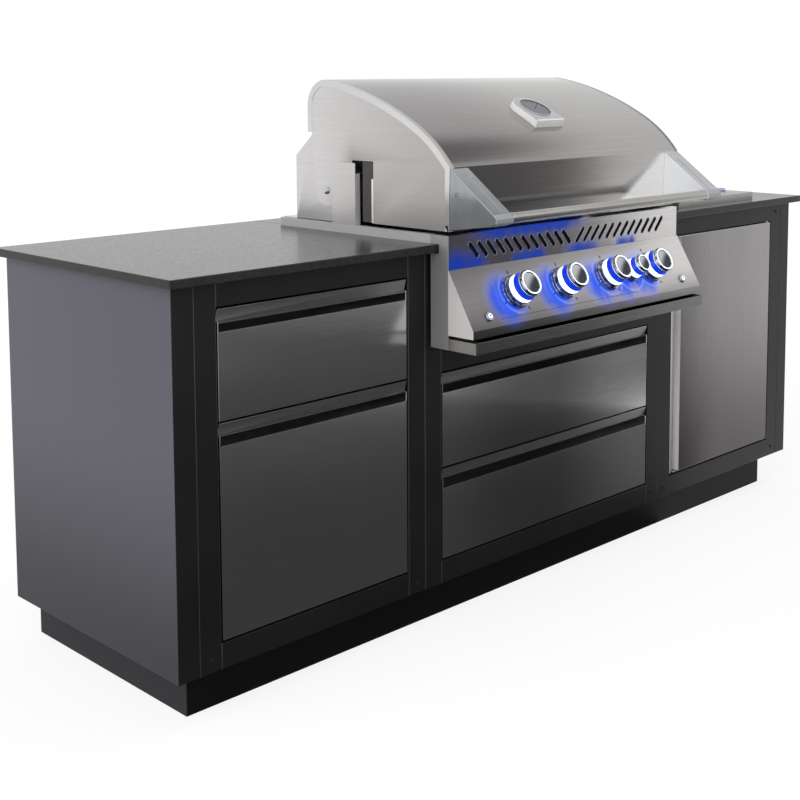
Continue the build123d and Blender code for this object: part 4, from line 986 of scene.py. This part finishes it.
pivotScrew = {"rings": [(0.0050, -0.0120), (0.0050, 0.0), (0.0096, 0.0), (0.0096, 0.0007), (0.0086, 0.0022),
                        (0.0060, 0.0033), (0.0030, 0.0038), (0.0008, 0.0039)],
              "steps": 40, "rounding": 0.0002, "segments": 1, "out": 0.4463}
bolts = []
for side in (-1, 1):
    bolt = roundTurned(turned("bolt", pivotScrew), pivotScrew)
    spot = Matrix.Translation((side * pivotScrew["out"], *jointOf["lid"]["pos_m"][1:]))
    bolt.data.transform(spot @ turnBy(90 * side, "Y"))
    bolts.append(bolt)
trim(bolts, "pivotScrews", brightChrome, "cabinet", "polished_chrome", "lid_pivot_bolts")

stileScrew = {"rings": [(0.0045, 0.0), (0.0045, 0.0007), (0.0037, 0.0016), (0.0022, 0.0016), (0.0021, 0.0006),
                        (0.0004, 0.0006)], "steps": 24, "rounding": 0.0002, "segments": 1, "inset": 0.026}
screwModel = roundTurned(turned("screwModel", stileScrew), stileScrew)
low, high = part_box("right_face_frame")
half = frames["stile"] / 2
outer, inner, post = high.x - half, low.x + half, low.x - half
screwRows = {low.z + stileScrew["inset"]: (outer, inner, post), high.z - stileScrew["inset"]: (outer, inner)}
screws = []
for z, columns in screwRows.items():
    for x in columns:
        for side in (-1, 1):
            screws.append(copied(screwModel, "screw", Matrix.Translation((side * x, low.y, z)) @ turnBy(90, "X")))
trim(screws, "stileScrews", blackTrim, "cabinet", "charcoal_coat", "frame_screws")

backSheets = {"inset": 0.025, "seam": 0.0018, "proud": 0.0003, "rounding": 0.0001}
cabinets = [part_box(name + "_cabinet_panels") for name in ("left", "grill", "right")]


def backRow(start, end):
    return start + backSheets["inset"], (start + end) / 2, end - backSheets["inset"]


screws = []
for low, high in cabinets:
    columns = backRow(low.x, high.x)
    levels = backRow(low.z, high.z)
    for x in columns:
        for z in levels:
            if x != columns[1] or z != levels[1]:  # none in the middle of a sheet
                screws.append(copied(screwModel, "screw", Matrix.Translation((x, high.y, z)) @ turnBy(-90, "X")))
dropped(screwModel)
trim(screws, "backScrews", darkChrome, "cabinet", "polished_chrome")
half = backSheets["seam"] / 2
proud = backSheets["proud"]
low, high = cabinets[0]
seams = []
for x in (low.x, *(box[1].x for box in cabinets)):
    seam = block("seam", (x - half, high.y - proud, low.z), (x + half, high.y + proud, high.z))
    roundEdges(seam, backSheets["rounding"], 1)
    seams.append(seam)
trim(seams, "backSeams", blackTrim, "cabinet", "nylon")

sideDial = {"rings": [(0.0220, 0.0003), (0.0220, 0.0052), (0.0206, 0.0078), (0.0168, 0.0083), (0.0160, 0.0074),
                      (0.0010, 0.0072)], "steps": 56, "rounding": 0.0004, "segments": 2,
            "top": 0.006, "dish": 0.0150, "ring": 0.0207}


def dialFinish(face):
    if face.center.z < sideDial["top"] or reachOf(face) > sideDial["ring"]:
        return 0
    return 2 if reachOf(face) < sideDial["dish"] else 1


dial = roundTurned(turned("sideDial", sideDial), sideDial)
paintBy(dial, (brightChrome, blueGlow, dishMetal), dialFinish)
dial.data.transform(Matrix.Translation(jointOf["side_burner_dial"]["pos_m"]))
dress(dial, "side_burner_dial", "polished_chrome", "side_burner_dial")
print("screws and dial set")

slotFinish = {
    "charcoal_coat": charcoalCoat, "dark_stone": darkStone, "dark_steel": frontSteel,
    "brushed_stainless": plainSteel, "polished_chrome": brightChrome, "zinc_sheet": zincSteel, "nylon": blackTrim,
    "lit_button": whiteGlow, "cast_grate": castIron, "aluminium_pipe": zincSteel, "ceramic_tile": burnerTile,
}
partFinish = {"grill_flange": flangeSteel, "plinth_boards": plinthCoat}
for node, piece in frame["nodes"].items():
    paint(piece, partFinish.get(node, slotFinish[nodeSlot[node]]))
print("other parts painted")

floorLook = {"size": 60.0, "drop": 0.0004, "tone": (0.9, 0.9, 0.9), "white": 0.8, "lift": 1.06,
             "fade": (1.6, 5.0)}
deselectAll()
bpy.ops.mesh.primitive_plane_add(size=floorLook["size"], location=(0, 0, -floorLook["drop"]))
floor = bpy.context.object
floor.name = "studioFloor"
bpy.ops.object.transform_apply(location=True, rotation=True, scale=True)
floorPaint = bpy.data.materials.new("floorPaint")
floorPaint.use_nodes = True
tree = floorPaint.node_tree
tree.nodes.clear()


def seenDirectly(tree):  # 1 for what the camera, metal and glass see
    start = Wire(tree)
    seen = start.node("ShaderNodeLightPath", {}, {}, "Is Camera Ray")
    for ray in ("Is Glossy Ray", "Is Transmission Ray"):
        seen = seen.math("MAXIMUM", seen, start.node("ShaderNodeLightPath", {}, {}, ray))
    return seen


seen = seenDirectly(tree)
matt = seen.node("ShaderNodeBsdfDiffuse", {}, {"Color": (*floorLook["tone"], 1)})
white = seen.node("ShaderNodeEmission", {}, {"Color": (1, 1, 1, 1), "Strength": floorLook["lift"]})
spot = seen.node("ShaderNodeTexCoord", {}, {}, "Object")
away = seen.node("ShaderNodeVectorMath", {"operation": "LENGTH"}, {0: spot}, "Value")
share = floorLook["white"] + graded(away, *floorLook["fade"]) * (1 - floorLook["white"])
mixed = seen.node("ShaderNodeMixShader", {}, {0: seen * share, 1: matt, 2: white})
tree.links.new(mixed.socket, tree.nodes.new("ShaderNodeOutputMaterial").inputs["Surface"])
paint(floor, floorPaint)

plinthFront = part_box("plinth_boards")[0].y - 0.002
cardLooks = {  # cards that only the metal sees, with the level at the spot and beyond its reach
    "darkCard": {"corners": [(1.9, -4.4, 0), (3.7, -3.03, 0), (1.9, -4.4, 1.6), (3.7, -3.03, 1.6)],
                 "spot": (2.8, -3.7, 0), "reach": (0.4, 0.9), "levels": (0.1, 0.19)},
    "darkMat": {"corners": [(0.5, -7.5, 0.0006), (6.2, -4.9, 0.0006), (-2.2, plinthFront, 0.0006),
                            (0.56, plinthFront, 0.0006)],
                "spot": (0, plinthFront, 0), "reach": (0.8, 3.2), "levels": (0.07, 0.1)},
    "greyCeiling": {"corners": [(1.2, -3.8, 4.5), (11.0, -3.8, 4.5), (1.2, 7.0, 4.5), (11.0, 7.0, 4.5)],
                    "spot": (2.9, -0.6, 4.5), "reach": (0.3, 1.6), "levels": (0.33, 0.88)},
    "bracketCard": {"corners": [(-3.04, 1.2, 0), (-3.04, 2.27, 0), (-3.04, 1.2, 0.69), (-3.04, 2.27, 0.69)],
                    "spot": (-3.04, 1.8, 0), "reach": (0.3, 0.8), "levels": (0.28, 0.36)},
}
felt = {"Base Color": (0, 0, 0, 1), "Roughness": 1.0, "Specular IOR Level": 0.0, "Emission Strength": 1.0}
for name, look in cardLooks.items():
    bpy.ops.mesh.primitive_plane_add(size=1, location=(0, 0, 0))
    card = bpy.context.object
    card.name = name
    for vertex, corner in zip(card.data.vertices, look["corners"]):
        vertex.co = corner
    card.visible_camera = False
    card.visible_diffuse = False
    card.visible_shadow = False
    cardFelt, place, shader = startFinish(name, felt)
    dark, light = ((level, level, level) for level in look["levels"])
    feed(shader, "Emission Color", blended(nearest(place, [look["spot"]], *look["reach"]), light, dark))
    paint(card, cardFelt)

room = {"ambient": 0.5}
world = bpy.data.worlds.new("studio")
bpy.context.scene.world = world
world.use_nodes = True
backdrop = world.node_tree.nodes["Background"]
backdrop.inputs["Color"].default_value = (1, 1, 1, 1)
seen = seenDirectly(world.node_tree)
world.node_tree.links.new((room["ambient"] + seen * (1 - room["ambient"])).socket, backdrop.inputs["Strength"])

lamps = {  # name: (place, aim, size, watts)
    "keyBox": ((-4.2, -2.6, 4.0), (0, 0, 0.6), 3.0, 90),
    "sideBox": ((-5.0, 1.8, 2.4), (-1.1, 0.1, 0.6), 2.6, 60),
    "topBox": ((0.4, -0.6, 4.6), (0, 0, 0.9), 3.4, 60),
}
for name, (spot, aim, size, watts) in lamps.items():
    light = bpy.data.lights.new(name, "AREA")
    light.size = size
    light.energy = watts
    lamp = bpy.data.objects.new(name, light)
    lamp.location = spot
    lamp.rotation_mode = "QUATERNION"
    lamp.rotation_quaternion = (Vector(aim) - Vector(spot)).to_track_quat("-Z", "Y")
    lamp.visible_glossy = False
    bpy.context.scene.collection.objects.link(lamp)

eye = {"place": (-2.591212, -2.322456, 1.301229), "yaw": -44.272, "pitch": 5.497, "roll": -0.298, "lens": 59.65,
       "shift": (0.0038, -0.25)}
yaw, pitch, roll = (math.radians(eye[turn]) for turn in ("yaw", "pitch", "roll"))
ahead = Vector((-math.sin(yaw) * math.cos(pitch), math.cos(yaw) * math.cos(pitch), -math.sin(pitch)))
right = Vector((math.cos(yaw), math.sin(yaw), 0))
up = right.cross(ahead)
tiltedRight = right * math.cos(roll) + up * math.sin(roll)
tiltedUp = up * math.cos(roll) - right * math.sin(roll)
view = bpy.data.cameras.new("photoView")
view.lens = eye["lens"]
view.sensor_width = 36
view.shift_x, view.shift_y = eye["shift"]
camera = bpy.data.objects.new("photoView", view)
axes = Matrix((tiltedRight, tiltedUp, -ahead)).transposed().to_4x4()
camera.matrix_world = Matrix.Translation(eye["place"]) @ axes
bpy.context.scene.collection.objects.link(camera)
bpy.context.scene.camera = camera
bpy.context.scene.view_settings.view_transform = "Standard"
print("studio lit")

deselectAll()
